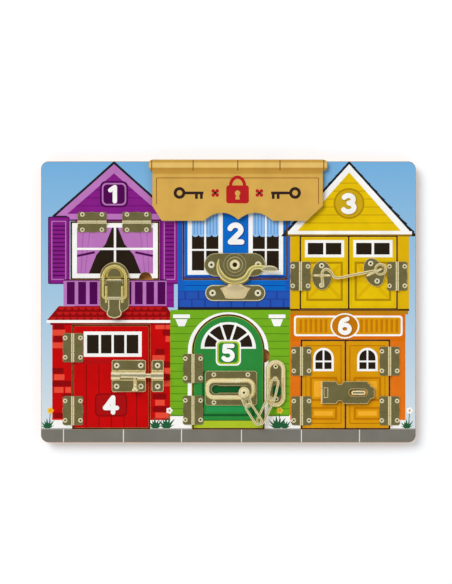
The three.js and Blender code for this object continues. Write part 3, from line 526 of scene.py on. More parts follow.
# Surround and door with a fanlight
add([(-43.5, -135.8), (42.8, -135.8)] + curve(-0.2, -52, 43, 41, 0, 180, 28), WHITE)
add([(-39.4, -135.8), (38.8, -135.8)] + curve(-0.2, -52, 39, 37.6, 0, 180, 28), LIME_LIGHT)
add([(-36.6, -134.6), (36.8, -134.6)] + curve(0.1, -52, 36.8, 36.6, 0, 180, 28), GREEN)
ellipse(0, -50, 29.5, 28.5, WHITE, 30, 0, 180)
ellipse(0, -48, 25.6, 24, DARK, 30, 0, 180)
for angle in (36, 72, 108, 144):
    line((0, -49), on_circle(0, -49, 28, angle), 2.4, WHITE)
plaque(-13.4, 13.4, -68, -40.6, (0, 5, WHITE), (1.4, 4.4, LIME_LIGHT), (3, 3.6, GREEN))
digit("5", -0.2, -54.4, 17.4, GREEN_DARK)
panel(-28, 28, -122, -74, (0, GREEN_DARK), (2.4, GREEN), (4.6, (38, 150, 80)))
rect(-36.6, 36.8, -134.6, -126, LIME_LIGHT)
rect(-36.6, 36.8, -126.8, -126, GREEN_DARK)

# Lower right house
rect(66, 189, -136, -9.8, ORANGE)
siding(66, 189, -136, -42, 8.4, (222, 108, 16), 0.8)
rect(66, 192, -13.4, -9.4, (190, 128, 14))
rect(66, 76, -134, -42, (228, 116, 20))
rect(174, 189, -134, -42, (228, 116, 20))
# The long sign
plaque(70, 186, -36.6, -14.6, (0, 3, WHITE), (2, 2, AMBER))
for x in every(76, 182, 5.4):
    if not 108 < x < 140:
        rect(x, x + 2.6, -32.6, -18.6, AMBER_DARK)
ellipse(124.4, -25.6, 15.4, 13.6, WHITE, 36)
ellipse(124.4, -25.6, 13.8, 12.1, AMBER_DARK, 36)
digit("6", 124.4, -25.6, 17.4, AMBER_LINE)
rect(66, 189, -135.6, -126.2, WHITE)
# Two doors with round-headed lights
for l, r in ((78.9, 124.2), (125.8, 171.1)):
    rect(l, r, -134.6, -41.9, AMBER)
    panel(l + 3.6, r - 3.6, -130, -46.4, (0, AMBER_LINE), (0.7, AMBER))
    middle = (l + r) / 2
    for half, foot, rgb in ((11, -74, WHITE), (8.6, -71.6, DARK)):
        add([(middle - half, foot), (middle + half, foot)] + arc(middle, -60, half, 0, 180, 16), rgb)
    rect(middle - 0.9, middle + 0.9, -72, -51, WHITE)
    rect(middle - 9, middle + 9, -64.4, -62.6, WHITE)
    for low, high in ((-126, -112), (-106, -80)):
        panel(l + 8, r - 8, low, high, (0, AMBER_DARK), (2.4, AMBER), (4.6, (246, 176, 44)))

# Street, with tufts of grass and flowers
rect(-200, 200, -150, -134.8, GREY)
rect(-200, 200, -136, -134.8, (176, 172, 164))
for x in (-176, -112, -50, 14, 78, 140):
    rect(x - 0.5, x + 0.5, -150, -136, (226, 224, 218))
tuft(-193, 0.75, (244, 190, 60))
tuft(-78, 0.8)
tuft(-66, 0.9, WHITE)
tuft(52, 0.95, (240, 190, 60))
tuft(60, 0.7)
tuft(190.5, 0.7, WHITE)


def area(points):
    return sum(x1 * y2 - x2 * y1 for (x1, y1), (x2, y2) in zip(points, points[1:] + points[:1])) / 2


def anticlockwise(points):
    return points[::-1] if area(points) < 0 else list(points)


def cut_up(loops, nearness):
    """The plane inside the loops, cut along all of them: points, faces, and which loops each face is in."""
    verts, faces = [], []
    for loop in loops:
        faces.append(list(range(len(verts), len(verts) + len(loop))))
        verts.extend(Vector(p) for p in anticlockwise(loop))
    points, _, pieces, _, _, origins = delaunay_2d_cdt(verts, [], faces, 1, nearness, True)
    return points, pieces, origins


def new_mesh(name, verts, faces, materials, kinds):
    """A mesh in metres from millimetres, with the number of each face's material in kinds."""
    mesh = bpy.data.meshes.new(name)
    mesh.from_pydata([(x * MM, y * MM, z * MM) for x, y, z in verts], [], faces)
    for material in materials:
        mesh.materials.append(material)
    mesh.polygons.foreach_set("material_index", kinds)
    return mesh


def extent(points):
    xs, ys = zip(*points)
    return min(xs), max(xs), min(ys), max(ys)


def print_sheet(name, outline, body, base, z=FACE, holes=()):
    """One flat sheet of paint: the outline with all of art laid over it in order, and the holes left open."""
    left, right, low, high = extent(outline)
    layers = [(outline, base)]
    for points, rgb in art:
        l, r, b, t = extent(points)
        if r > left and l < right and t > low and b < high:
            layers.append((points, rgb))
    layers += [(hole, None) for hole in holes]
    points, faces, origins = cut_up([points for points, _ in layers], 1e-4)
    kept, materials, kinds = [], [], []
    for face, ids in zip(faces, origins):
        top = layers[max(ids)][1] if 0 in ids else None
        if top is None:
            continue
        material = SKY if top is SKY else paint(top)
        if material not in materials:
            materials.append(material)
        kept.append(face)
        kinds.append(materials.index(material))
    used = {v: n for n, v in enumerate(sorted({v for face in kept for v in face}))}
    kept = [[used[v] for v in face] for face in kept]
    sheet = placed(name, new_mesh(name, [(*points[v], z + LIFT) for v in used], kept, materials, kinds))
    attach(sheet, body)


# Gap between a door and its frame, and how far the paint stops short of an edge
GAP = 1.3
EDGE = 0.32


def box_hole(l, r, b, t):
    return box(l - EDGE, r + EDGE, b - EDGE, t + EDGE)


def door_outline(l, r, b, t):
    return box(l + EDGE, r - EDGE, b + EDGE, t - EDGE)


arch_hole = [(-38.35 - EDGE, -134.8 - GAP - EDGE), (37.2 + GAP + EDGE, -134.8 - GAP - EDGE)]
arch_hole += arc(0.075, -51.8, 38.43 + EDGE, 0, 180, 40)
board_holes = [
    box_hole(-167 - GAP, -75 + GAP, 25 - GAP, 85.75),
    box_hole(-47.3 - GAP, 62 + GAP, 25 - GAP, 106.65),
    box_hole(76.25, 180.75, -7 - GAP, 69.6 + GAP),
    box_hole(-166.55, -84.9 + GAP, -134.5 - GAP, -25.5 + GAP),
    box_hole(77.35, 172.65, -134.8 - GAP, -41.7 + GAP),
    arch_hole,
    arc(37.2, -57.6, 7.2 + EDGE, 0, 345, 23),
]
board_outline = rounded(-199.6, 199.6, -149.6, 149.6, 7.6)
print_sheet("print_front", board_outline, "board", SKY, holes=board_holes)
window_1_outline = door_outline(-167, -75, 25, 84.45)
finger_notch = arc(-88.5, 25, 6.7 + EDGE, -10, 190, 20)
print_sheet("print_window_1", window_1_outline, "window_1", WHITE, holes=[finger_notch])
door_arch = [(-37.05 + EDGE, -134.8 + EDGE), (37.2 - EDGE, -134.8 + EDGE)]
door_arch += arc(0.075, -51.8, 37.125 - EDGE, 0, 180, 40)
for name, outline, body, base, slot_name in (
    ("window_2", door_outline(-47.3, 62, 25, 105.35), "window_2", BLUE, "blue_paint"),
    ("door_3_left", door_outline(77.55, 127.85, -7, 69.6), "left_door_3", YELLOW, "yellow_paint"),
    ("door_3_right", door_outline(129.15, 179.45, -7, 69.6), "right_door_3", YELLOW, "yellow_paint"),
    ("door_4", door_outline(-165.25, -84.9, -134.5, -25.5), "red_door", RED, "red_paint"),
    ("door_5", door_arch, "arched_door", GREEN, "green_paint"),
    ("door_6_left", door_outline(78.65, 124.35, -134.8, -41.7), "left_door_6", AMBER, "orange_paint"),
    ("door_6_right", door_outline(125.65, 171.35, -134.8, -41.7), "right_door_6", AMBER, "orange_paint"),
):
    print_sheet("print_" + name, outline, body, base)

# Header card: a bare scroll with a border and plain key and padlock shapes
art.clear()


def key(x, y, size, rgb, turn=1):
    """A key with its ring at x, y and its bit to the right, or to the left where turn is -1."""
    disc(x, y, size * 0.42, rgb, 24)
    disc(x, y, size * 0.2, TAN, 16)
    for out, end, drop in ((0.35, 1.7, 0), (1.2, 1.2, 0.42), (1.55, 1.55, 0.42)):
        line((x + turn * size * out, y), (x + turn * size * end, y - size * drop), size * 0.2, rgb)


def padlock(x, y, size, rgb):
    stroke(curve(x, y + size * 0.3, size * 0.34, size * 0.42, 180, 0), size * 0.16, rgb)
    plaque(x - size * 0.55, x + size * 0.55, y - size * 0.55, y + size * 0.32, (0, size * 0.12, rgb))
    disc(x, y - size * 0.05, size * 0.13, TAN, 14)
    slot = ((-0.06, -0.1), (0.06, -0.1), (0.11, -0.36), (-0.11, -0.36))
    add([(x + size * px, y + size * py) for px, py in slot], TAN)


def bow(start, pull, end, steps=8):
    """Points after the start of a quadratic curve."""
    return [
        tuple(a * (1 - t) ** 2 + 2 * b * t * (1 - t) + c * t * t for a, b, c in zip(start, pull, end))
        for t in [i / steps for i in range(1, steps + 1)]
    ]


card_line = [(-81, 102.4), (-71, 86.4), (-25.8, 86.4)]
card_line += bow((-25.8, 86.4), (-7.6, 103), (10.6, 87.6)) + bow((10.6, 87.6), (28.8, 103), (47, 86.4))
card_line += [(83.6, 86.4), (100.6, 102.4), (100.6, 139.6), (105.1, 141.5), (105.1, 149.6)]
card_line += [(103.4, 151.2), (-82.9, 151.2), (-84.6, 149.6), (-84.6, 141.5), (-81, 139.6)]
for l, r, b, t, rgb in (
    (-81, 101, 86, 139.6, TAN),
    (-81, 101, 136.4, 139.6, (196, 148, 62)),
    (-86, 107, 139.6, 143, (190, 142, 58)),
    (-86, 107, 143, 148.4, TAN_LIGHT),
    (-86, 107, 148.4, 152, (204, 158, 72)),
):
    rect(l, r, b, t, rgb)
for x in (-81.6, -37.5, 10, 55, 101.6):
    rect(x - 0.6, x + 0.6, 139.6, 152, TAN_DARK)
for p, q in (((-76.5, 104), (-76.5, 132)), ((96, 104), (96, 132)), ((-76.5, 132), (96, 132))):
    line(p, q, 0.9, TAN_DARK)
key(-52, 116, 15, INK)
padlock(9.8, 117, 22, CARD_RED)
key(71, 116, 15, INK, -1)
for x in (-14, 33):
    flower(x, 116, 4, 3, 2, CARD_RED, 12, 1.6, INK, 45)
# The print stays just inside the card's cut edge
card_outline = [(9.8 + (x - 9.8) * 0.998, y + (0.2 if y < 100 else -0.1)) for x, y in card_line]
print_sheet("print_card", card_outline, "card", TAN, CARD)

# Plain pictures behind the doors
art.clear()
# 1: a ball
disc(-121, 54, 20, (232, 60, 50), 36)
ellipse(-121, 54, 20, 6, WHITE, 36)
rect(-166, -76, 33, 39, GRASS)
# 2: the sun
for degrees in range(0, 360, 45):
    line(on_circle(7.5, 66, 17, degrees), on_circle(7.5, 66, 27, degrees), 4, AMBER)
disc(7.5, 66, 15, YELLOW, 36)
# 3: flowers
rect(78, 179, -7, 6, GRASS)
for x in (102, 128, 154):
    line((x, 4), (x, 30), 2.4, LEAF)
    flower(x, 36, 6, 7, 5, (226, 70, 120), 16, 5, YELLOW)
# 4: a sailing boat
rect(-164, -86, -134, -118, (96, 160, 214))
add([(-152, -112), (-98, -112), (-106, -126), (-144, -126)], (190, 40, 40))
add([(-124, -108), (-124, -52), (-98, -108)], WHITE)
add([(-128, -108), (-128, -62), (-148, -108)], YELLOW)
# 5: a tree
rect(-36, 36, -134, -122, GRASS)
rect(-4, 4, -124, -92, (130, 84, 44))
for x, y, radius in ((-12, -82, 16), (12, -82, 16), (0, -66, 18)):
    disc(x, y, radius, (46, 140, 70), 28)
# 6: a star
add([on_circle(125, -88, 11 if i % 2 else 26, 90 + 36 * i) for i in range(10)], (240, 170, 30))
for number, outline, base in (
    (1, box(-166, -76, 33.5, 84), (196, 226, 244)),
    (2, box(-46, 61, 25, 105), (252, 226, 150)),
    (3, box(78, 179, -7, 69), (200, 232, 196)),
    (4, box(-164, -86, -134, -26), (248, 214, 206)),
    (5, [(-36, -134), (36, -134)] + arc(0, -52, 36, 0, 180, 24), (214, 222, 246)),
    (6, box(79.5, 170.5, -134, -42), (246, 234, 200)),
):
    print_sheet(f"picture_{number}", outline, "board", base, BACK)


def soften(thing, name, width, segments, angle):
    modifier = thing.modifiers.new(name, "BEVEL")
    modifier.width = width * MM
    modifier.segments = segments
    modifier.limit_method = "ANGLE"
    modifier.angle_limit = radians(angle)
    return modifier


# Hardware: smooth pieces that stand for the plainer solids. The shells of the piece in hand are collected
# as (points, faces, material), in millimetres above the face, until it is built
shells = []


def shell(points, faces, material):
    shells.append((points, faces, material))


def shell_mesh(name):
    """One mesh of all the shells in hand."""
    verts, faces, kinds, materials = [], [], [], []
    for points, polygons, material in shells:
        if material not in materials:
            materials.append(material)
        faces += [[len(verts) + i for i in polygon] for polygon in polygons]
        kinds += [materials.index(material)] * len(polygons)
        verts += points
    shells.clear()
    mesh = new_mesh(name, verts, faces, materials, kinds)
    mesh.polygons.foreach_set("use_smooth", [True] * len(faces))
    work = bmesh.new()
    work.from_mesh(mesh)
    bmesh.ops.remove_doubles(work, verts=work.verts, dist=1e-6)
    bmesh.ops.recalc_face_normals(work, faces=work.faces)
    work.to_mesh(mesh)
    work.free()
    return mesh


def build(name, body, bevel=0.0, segments=2, at=(0, 0), turn=0.0, mesh=None, node=None):
    """Adds a piece in place of a node, which has the same name or that in node. turn is in degrees."""
    mesh = mesh or shell_mesh("look_" + name)
    piece = placed("look_" + name, mesh)
    piece.location = (at[0] * MM, at[1] * MM, FACE * MM)
    piece.rotation_euler = (0, 0, radians(turn))
    if bevel:
        modifier = soften(piece, "rounded", bevel, segments, 38)
        modifier.harden_normals = True
        # The bevelled edges take the pale brass as a painted highlight
        if BRASS_HIGHLIGHT.name in mesh.materials:
            modifier.material = mesh.materials.find(BRASS_HIGHLIGHT.name)
    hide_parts(node or name)
    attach(piece, body)


def at_height(points, z):
    return [(x, y, z) for x, y in points]


def shifted(points, dx, dy=0.0):
    return [(dx + x, dy + y) for x, y in points]


def mirrored(points, sx, sy):
    """The points and, in turned order, their mirror images."""
    return points + [(sx * x, sy * y) for x, y in reversed(points)]


def from_to(p, q, points):
    """Points given along and across the line from p towards q."""
    length = dist(p, q)
    c, s = (q[0] - p[0]) / length, (q[1] - p[1]) / length
    return [(p[0] + x * c - y * s, p[1] + x * s + y * c) for x, y in points]


def belt(a, b, count):
    """Faces between two closed rows of points that start at numbers a and b."""
    return [[a + k, a + (k + 1) % count, b + (k + 1) % count, b + k] for k in range(count)]


def oval(centre, across, high, wide, tall, sides):
    angles = [2 * pi * k / sides for k in range(sides)]
    return [tuple(centre + across * wide * cos(a) + high * tall * sin(a)) for a in angles]


def loft(sections, material):
    """A solid with flat ends through closed sections of equally many points."""
    count = len(sections[0])
    last = (len(sections) - 1) * count
    faces = [list(range(count))[::-1], list(range(last, last + count))]
    for a in range(0, last, count):
        faces += belt(a, a + count, count)
    shell([point for section in sections for point in section], faces, material)


def prism(points, bottom, top, material=BRASS):
    points = anticlockwise(points)
    loft([at_height(points, bottom), at_height(points, top)], material)


def holed(outline, hole, bottom, top, material=BRASS):
    """A plate with a hole right through."""
    points, triangles, origins = cut_up([outline, hole], 1e-5)
    kept = [t for t, ids in zip(triangles, origins) if list(ids) == [0]]
    shell(at_height(points, top), kept, material)
    shell(at_height(points, bottom), [t[::-1] for t in kept], material)
    for loop in (outline, hole):
        count = len(loop)
        shell(at_height(loop, bottom) + at_height(loop, top), belt(0, count, count), material)


def lathe(profile, x, y, sides, parts=(BRASS_HIGHLIGHT,)):
    """Turned about the vertical. parts has the material from each (radius, z) to the next."""
    rings, verts = [], []
    for radius, z in profile:
        start = len(verts)
        rings.append([start + i if radius else start for i in range(sides)])
        circle = [on_circle(x, y, radius, 360 * i / sides) for i in range(sides)]
        verts += at_height(circle if radius else [(x, y)], z)
    for k, (a, b) in enumerate(zip(rings, rings[1:])):
        faces = []
        for i in range(sides):
            j = (i + 1) % sides
            face = [a[i], a[j], b[j], b[i]]
            faces.append([v for n, v in enumerate(face) if v not in face[:n]])
        used = sorted(set(a + b))
        faces = [[used.index(v) for v in face] for face in faces]
        shell([verts[v] for v in used], faces, parts[min(k, len(parts) - 1)])


# A screw head's profile: shares of its radius, and heights
SCREW = ((1, -0.1), (1, 0.15), (0.86, 0.65), (0.74, 0.85), (0.64, 0.82), (0.48, 0.4), (0.4, 0.2), (0, 0.12))


def screw(x, y, z=PLATE, radius=2.5):
    """A countersunk head: a ring coloured as a painted highlight, sloped to both sides round a recess painted
    dark as shade.
    """
    lathe([(radius * share, z + up) for share, up in SCREW], x, y, 24, [HEAD_HIGHLIGHT] * 6 + [RECESS_SHADE])


def screws(xs, ys, radius):
    for x in xs:
        for y in ys:
            screw(x, y, radius=radius)


def between(a, b, c, d, t):
    """A Catmull-Rom value at share t of the way from b to c."""
    bend, twist = 2 * a - 5 * b + 4 * c - d, 3 * b - a - 3 * c + d
    return 0.5 * (2 * b + (c - a) * t + bend * t * t + twist * t ** 3)


def smooth_path(points, per=6):
    """Catmull-Rom points through a rough route."""
    result = []
    last = len(points) - 1
    for i in range(last):
        picks = [points[max(0, min(last, i + k))] for k in (-1, 0, 1, 2)]
        for s in range(per):
            result.append(tuple(between(*values, s / per) for values in zip(*picks)))
    return result + [tuple(points[-1])]


def tube(path, sizes, sides, material=BRASS_HIGHLIGHT, closed=False):
    """Round or flattened wire along a route. sizes is a radius, or (across, high) for each point."""
    count = len(path)
    points = [Vector(p) for p in path]
    sections, verts, faces = [], [], []
    for i, point in enumerate(points):
        after = points[(i + 1) % count] if closed or i < count - 1 else point
        before = points[i - 1] if closed or i > 0 else point
        along = (after - before).normalized()
        across = along.cross(Vector((0, 0, 1)))
        if across.length < 0.05:
            across = sections[-1][0] if sections else Vector((0, 1, 0))
        across = across.normalized()
        high = across.cross(along).normalized()
        wide, tall = sizes[i] if isinstance(sizes, list) else (sizes, sizes)
        sections.append((across, high, wide, tall))
        verts += oval(point, across, high, wide, tall, sides)
    for i in range(count if closed else count - 1):
        faces += belt(i * sides, (i + 1) % count * sides, sides)
    # Blunt round ends: a smaller ring and a tip
    for end, sign in () if closed else ((0, -1), (count - 1, 1)):
        across, high, wide, tall = sections[end]
        along = (points[end] - points[end - sign]).normalized()
        start = len(verts)
        verts += oval(points[end] + along * 0.6 * tall, across, high, wide * 0.72, tall * 0.72, sides)
        verts.append(tuple(points[end] + along * 0.9 * tall))
        faces += belt(end * sides, start, sides)
        faces += [[start + k, start + (k + 1) % sides, start + sides] for k in range(sides)]
    shell(verts, faces, material)


def rim(path, section, material=BRASS_HIGHLIGHT):
    """A closed raised rim: section is (outward, z) points along the path."""
    path = anticlockwise(path)
    count, wide = len(path), len(section)
    verts, faces = [], []
    for i, (x, y) in enumerate(path):
        before, after = path[i - 1], path[(i + 1) % count]
        dx, dy = after[0] - before[0], after[1] - before[1]
        length = hypot(dx, dy)
        verts += [(x + dy / length * off, y - dx / length * off, z) for off, z in section]
        a, b = i * wide, (i + 1) % count * wide
        faces += [[a + k, b + k, b + (k + 1) % wide, a + (k + 1) % wide] for k in range(wide)]
    shell(verts, faces, material)


def trim(outline, z, width=0.9):
    """The thin line where a stamped plate's edge is rounded over, in pale brass as a painted highlight."""
    top = z + 0.32
    rim(outline, [(0, z - 0.5), (-0.05, z), (-0.4 * width, top), (-0.55 * width, top), (-width, z - 0.1)])


def plate(outline, width=0.9):
    prism(outline, 0, PLATE)
    trim(outline, PLATE, width)


def turned(stations, sides=20, material=BRASS_HIGHLIGHT):
    """A straight turned bar with flat ends, from (place, radius) stations."""
    places = [Vector(place) for place, _ in stations]
    along = (places[-1] - places[0]).normalized()
    across = along.orthogonal().normalized()
    high = along.cross(across)
    sections = [oval(place, across, high, size, size, sides) for place, (_, size) in zip(places, stations)]
    loft(sections, material)


def rod(start, end, radius, material=BRASS_HIGHLIGHT, sides=20):
    start, end = Vector(start), Vector(end)
    chamfer = radius * 0.15
    step = (end - start).normalized() * chamfer
    slim = radius - chamfer
    turned([(start, slim), (start + step, radius), (end - step, radius), (end, slim)], sides, material)


def stadium(cx, cy, width, height, steps=12):
    radius = min(width, height) / 2 - 0.02
    return rounded(cx - width / 2, cx + width / 2, cy - height / 2, cy + height / 2, radius, steps)


# Butt hinges
def hinge_outline(side):
    """One leaf, with a slightly waved outer edge. side is 1 for the right leaf and -1 for the left."""
    reach, tall, corner = 11.0, 15.5, 2.6
    points = [(0.0, -tall)] + arc(reach - corner, corner - tall, corner, -90, 0, 6)
    for i in range(1, 16):
        u = i / 16
        points.append((reach - 0.32 * (1 - cos(4 * pi * u)), (tall - corner) * (2 * u - 1)))
    points += arc(reach - corner, tall - corner, corner, 0, 90, 6) + [(0.0, tall)]
    return [(side * x, y) for x, y in points]


def hinge_leaf(side):
    """The frame's leaf has the outer knuckles, and the door's has the middle one."""
    outline = hinge_outline(side)
    inner = side * 2.0
    if side < 0:
        points = outline + [(0.0, 5.35), (inner, 5.35), (inner, -5.35), (0.0, -5.35)]
        knuckles = ((-15.5, -5.15), (5.15, 15.5))
    else:
        points = [(inner, -15.5)] + outline[1:-1] + [(inner, 15.5), (inner, 5.0), (0.0, 5.0)]
        points += [(0.0, -5.0), (inner, -5.0)]
        knuckles = ((-5.05, 5.05),)
    prism(points, 0, 0.9)
    for low, high in knuckles:
        rod((0, low, 1.6), (0, high, 1.6), 1.75)
    for y in (-10.4, 10.4):
        screw(side * 8.15, y, 0.9)
    return shell_mesh("look_hinge_leaf")


# Hinges by door: its name, its body, their turn, and each one's name and pin centre
HINGES = (
    ("window_1", "window_1", -90, (("left", -145.3, 85.1), ("right", -97.7, 85.1))),
    ("window_2", "window_2", -90, (("left", -22.6, 106), ("right", 37.3, 106))),
    ("door_3", "left_door_3", 0, (("left", 76.9, 27.5),)),
    ("door_3", "right_door_3", 180, (("right", 180.1, 27.5),)),
    ("door_4", "red_door", 0, (("top", -165.9, -48.8), ("bottom", -165.9, -116))),
    ("door_5", "arched_door", 0, (("top", -37.7, -70.9), ("bottom", -37.7, -115.5))),
    ("door_6", "left_door_6", 0, (("left_top", 78, -63.2), ("left_bottom", 78, -116.1))),
    ("door_6", "right_door_6", 180, (("right_top", 172, -63.2), ("right_bottom", 172, -116.1))),
)
FRAME_LEAF, DOOR_LEAF = hinge_leaf(-1), hinge_leaf(1)
for door, body, turn, pins in HINGES:
    for name, x, y in pins:
        for kind, rider, mesh in (("frame", "board", FRAME_LEAF), ("door", body, DOOR_LEAF)):
            build(f"{door}_hinge_{name}_{kind}_leaf", rider, 0.45, 2, (x, y), turn, mesh)

# Draw latch, centred on x CX
CX = -121.4
catch = [(CX - 15.75, 25.7), (CX + 15.75, 25.7)] + curve(CX, 25.7, 15.75, 16.9, 0, 180, 28)
plate(catch)
hood = [(CX - 7.6, 26.2), (CX + 7.6, 26.2)] + curve(CX, 28.4, 7.6, 7.8, 0, 180, 20)
prism(hood, 1.1, 3.7)
rim(hood, [(2.0, 1.1), (1.6, 2.3), (0.8, 3.5), (0.1, 4.2), (-0.2, 4.2), (-0.7, 3.6), (-0.5, 3.0)], GOLD_HIGHLIGHT)
build("draw_catch", "window_1", 0.5, 3, node="draw_catch_plate")

half = [(6, -11.8), (9.4, -10.4), (12.4, -8.4), (14.6, -6.4), (15.75, -4.2), (15.75, 24.3)]
plate(shifted(mirrored(half, -1, 1), CX))
for side in (-1, 1):
    low, high = sorted((CX + side * 8, CX + side * 9.4))
    prism(box(low, high, 19, 24.3), 0.9, 5.5, BRASS_HIGHLIGHT)
rod((CX - 9.2, 23, 4.6), (CX + 9.2, 23, 4.6), 0.8)
build("draw_base", "board", 0.5, node="draw_latch_base")

wide = 7.4
prism(box(CX - wide, CX + wide, 4, 23), 4.9, 6.1)
tongue = [(-6, 4), (-6, -6.8), (-7, -9.6), (-8.1, -12.4)] + curve(0, -11.2, 8.3, 6.4, 190, 350, 18)
tongue += [(8.1, -12.4), (7, -9.6), (6, -6.8), (6, 4)]
prism(shifted(tongue, CX), 4.9, 6.1)
rod((CX - wide, 23, 4.6), (CX + wide, 23, 4.6), 1.7, sides=24)
rod((CX - wide, 4, 4.5), (CX + wide, 4, 4.5), 2.1, sides=28)
for side in (-1, 1):
    path = ((5.9, 1.5), (5.8, -6.8), (7.4, -11.4), (5.6, -15.2), (0, -16.9))
    path = [(CX + side * x, y, 6.1) for x, y in path]
    tube(smooth_path(path, 5), 0.6, 8)
    rod((CX + side * 8.5, -1, 5.4), (CX + side * 8.5, 17, 5.4), 1.3, GOLD_HIGHLIGHT, 14)
build("draw_lever", "draw_lever", 0.45, node="draw_latch_lever")

loop = curve(CX, 26, 12, 12.2, 0, 180, 24)
loop += arc(CX - 8.8, 7.2, 3.2, 180, 270, 6) + arc(CX + 8.8, 7.2, 3.2, 270, 360, 6)
# The loop's yellow pale brass is a painted highlight
tube(at_height(loop, 4.4), 1.5, 16, GOLD_HIGHLIGHT, closed=True)
build("draw_loop", "draw_loop", node="draw_latch_loop")

# Sash lock, with its pivot at SX, SY
SX, SY = 6.9, 39.6
plate(stadium(SX, SY, 65.3, 24.9))
screws((SX - 24.9, SX + 24.9), (SY,), 3.6)
boss = ((4.2, 1), (4.2, 3.2), (5.7, 3.2), (5.3, 4.3), (4.6, 5.1), (4, 5.3), (3.2, 4.9), (2.4, 4.1), (0, 4))
# The boss's pale brass is a painted highlight and its dark centre painted shade
lathe(boss, SX, SY, 32, [BRASS_HIGHLIGHT] * 7 + [RECESS_SHADE])
build("sash_plate", "window_2", 0.35, 3, node="sash_lock_plate")


def cam(radius, start, end, steps):
    return arc(SX, SY, radius, start, end, steps)


holed(cam(12, 0, 352, 44), cam(4.6, 0, 345, 23), 1.8, 3.0)
lathe([(7.5, 2.9), (7.9, 3.35), (8.3, 3.35), (8.7, 2.9)], SX, SY, 36)
lathe([(11.5, 2.9), (11.8, 3.25), (12.1, 3.2), (12.2, 2.2)], SX, SY, 44)
prism(cam(18.5, 168, 318, 40) + cam(8, 318, 168, 24), 1.65, 2.7)
prism(cam(22.4, 225, 315, 22) + cam(12, 315, 225, 12), 1.65, 2.9)
# The rail round the cam runs on into the arm
route = at_height(cam(17.9, 163, 310, 30), 3.7)
arm = ((13.9, -10.2, 3.9), (16.4, -6, 4.7), (20.4, -3, 6), (26.5, -2.5, 7.4), (33, -3.6, 8.5), (39, -4.3, 9))
arm = smooth_path(route[-2:] + [(SX + x, SY + y, z) for x, y, z in arm])[6:]
grow = [min(1.0, 0.22 + 2.4 * i / 30) for i in range(31)]
sizes = [(3.0 * share, 1.6 * (0.6 + 0.4 * share)) for share in grow]
last = len(arm) - 1
sizes += [(3.0 - 1.0 * i / last, 1.7 - 0.5 * i / last) for i in range(1, last + 1)]
tube(route + arm[1:], sizes, 16, GOLD_HIGHLIGHT)
# The thumb pad at the arm's end
pad, girth = [], []
for i in range(25):
    t = -1 + 2 * i / 24
    pad.append((SX + 36.6 + 8.6 * t, SY - 4.2 - 1.2 * t * t, 9.2 + 0.3 * t))
    girth.append((3.3 * sqrt(max(0.02, 1 - t * t)), 1.1 * sqrt(max(0.05, 1 - t * t))))
tube(pad, girth, 16)
build("sash_lever", "sash_lever", 0.3, node="sash_lock_lever")

KX, KY = 7.4, 9.5
plate(stadium(KX, KY, 64, 17), 1.1)
# The hood's rows of (y, half width, height): a ramp from the wood to a narrow neck over the cam's flange
rows = (
    (3.0, 10.8, 1.0), (6.5, 11.9, 2.9), (10.0, 13.4, 4.7), (12.8, 15.2, 5.9),
    (14.8, 16.4, 6.1), (16.2, 12.2, 6.3), (17.4, 8.8, 6.5), (19.0, 7.6, 6.5),
)
shares = [-1 + k / 8 for k in range(17)]
sections = []
for y, half, top in rows:
    edge = 1.0 if y < 13 else 3.0
    over = [(KX + half * share, y, edge + (top - edge) * (1 - abs(share) ** 3.2)) for share in shares]
    sections.append(over + [(x, y, edge - 0.1) for x, y, z in reversed(over)])
# The hood's pale brass is a painted highlight
loft(sections, HOOD_HIGHLIGHT)
screws((KX - 24.2, KX + 24.2), (KY,), 3.5)
build("sash_keeper", "board", 0.45, 3)

# Hook and eyes, with the hook's wire at height HOOK_Z. lean is how far an eye's wire crosses its plate aslant
HOOK_Z = 3.9
for side, body, at, tall, screw_y, tilt, lean in (
    ("left", "left_door_3", (99.6, 28.2), 15.6, 10.4, 0, 0),
    ("right", "right_door_3", (155.3, 31.6), 15.8, 9.9, 20, 5),
):
    plate(curve(0, 0, 10.7, tall, 0, 351, 39), 0.7)
    screws((0,), (-screw_y, screw_y), 2.9)
    slope = tan(radians(lean))
    arch = [(x, x * slope, 0.6 + 7.2 * sqrt(abs(y))) for x, y in curve(0, 0, 8.6, 1, 0, 180, 18)]
    tube(arch, 1.2, 12)
    build(f"eye_{side}", body, 0.55, 3, at, tilt, node=f"hook_eye_{side}")

# The hook's pale wire brass is a painted highlight
tube(at_height(arc(162.2, 34.8, 5.3, 0, 348, 29), HOOK_Z), 1.4, 20, WIRE_HIGHLIGHT, closed=True)
route = [(157.1, 33.4), (136, 29.4), (115.3, 25.6), (109.6, 31.4), (104.9, 34.8)]
route += [(101.2, 33.4), (99.6, 28.6), (100.4, 21), (99.5, 16.6)]
tube(smooth_path(at_height(route, HOOK_Z), 7), 1.6, 20, WIRE_HIGHLIGHT)
build("hook", "door_hook")

# Slide bolt, its axis at y BY and height BZ
BY, BZ = -78.4, 4.6
BORE, OUTER = 3.3, 4.7
# The flared foot of a bent guide, as (outward from the axis, z)
FOOT = [(OUTER, 2.6), (OUTER + 0.35, 1.8), (OUTER + 1.1, 1.1), (BORE, 1.1)]


def half_tunnel(left, right, end=180):
    """Sheet bent over the bolt from its upper side to the angle end, with flared feet on the plate."""
    section = arc(BY, BZ, OUTER, 0, end, 16)
    if end == 180:
        section += [(BY - out, z) for out, z in FOOT]
    section += arc(BY, BZ, BORE, end, 0, 16) + [(BY + out, z) for out, z in FOOT[::-1]]
    count = len(section)
    faces = [list(range(count)), list(range(count, 2 * count))[::-1]]
    faces += [[i, count + i, count + (i + 1) % count, (i + 1) % count] for i in range(count)]
    shell([(x, y, z) for x in (left, right) for y, z in section], faces, BRASS_HIGHLIGHT)


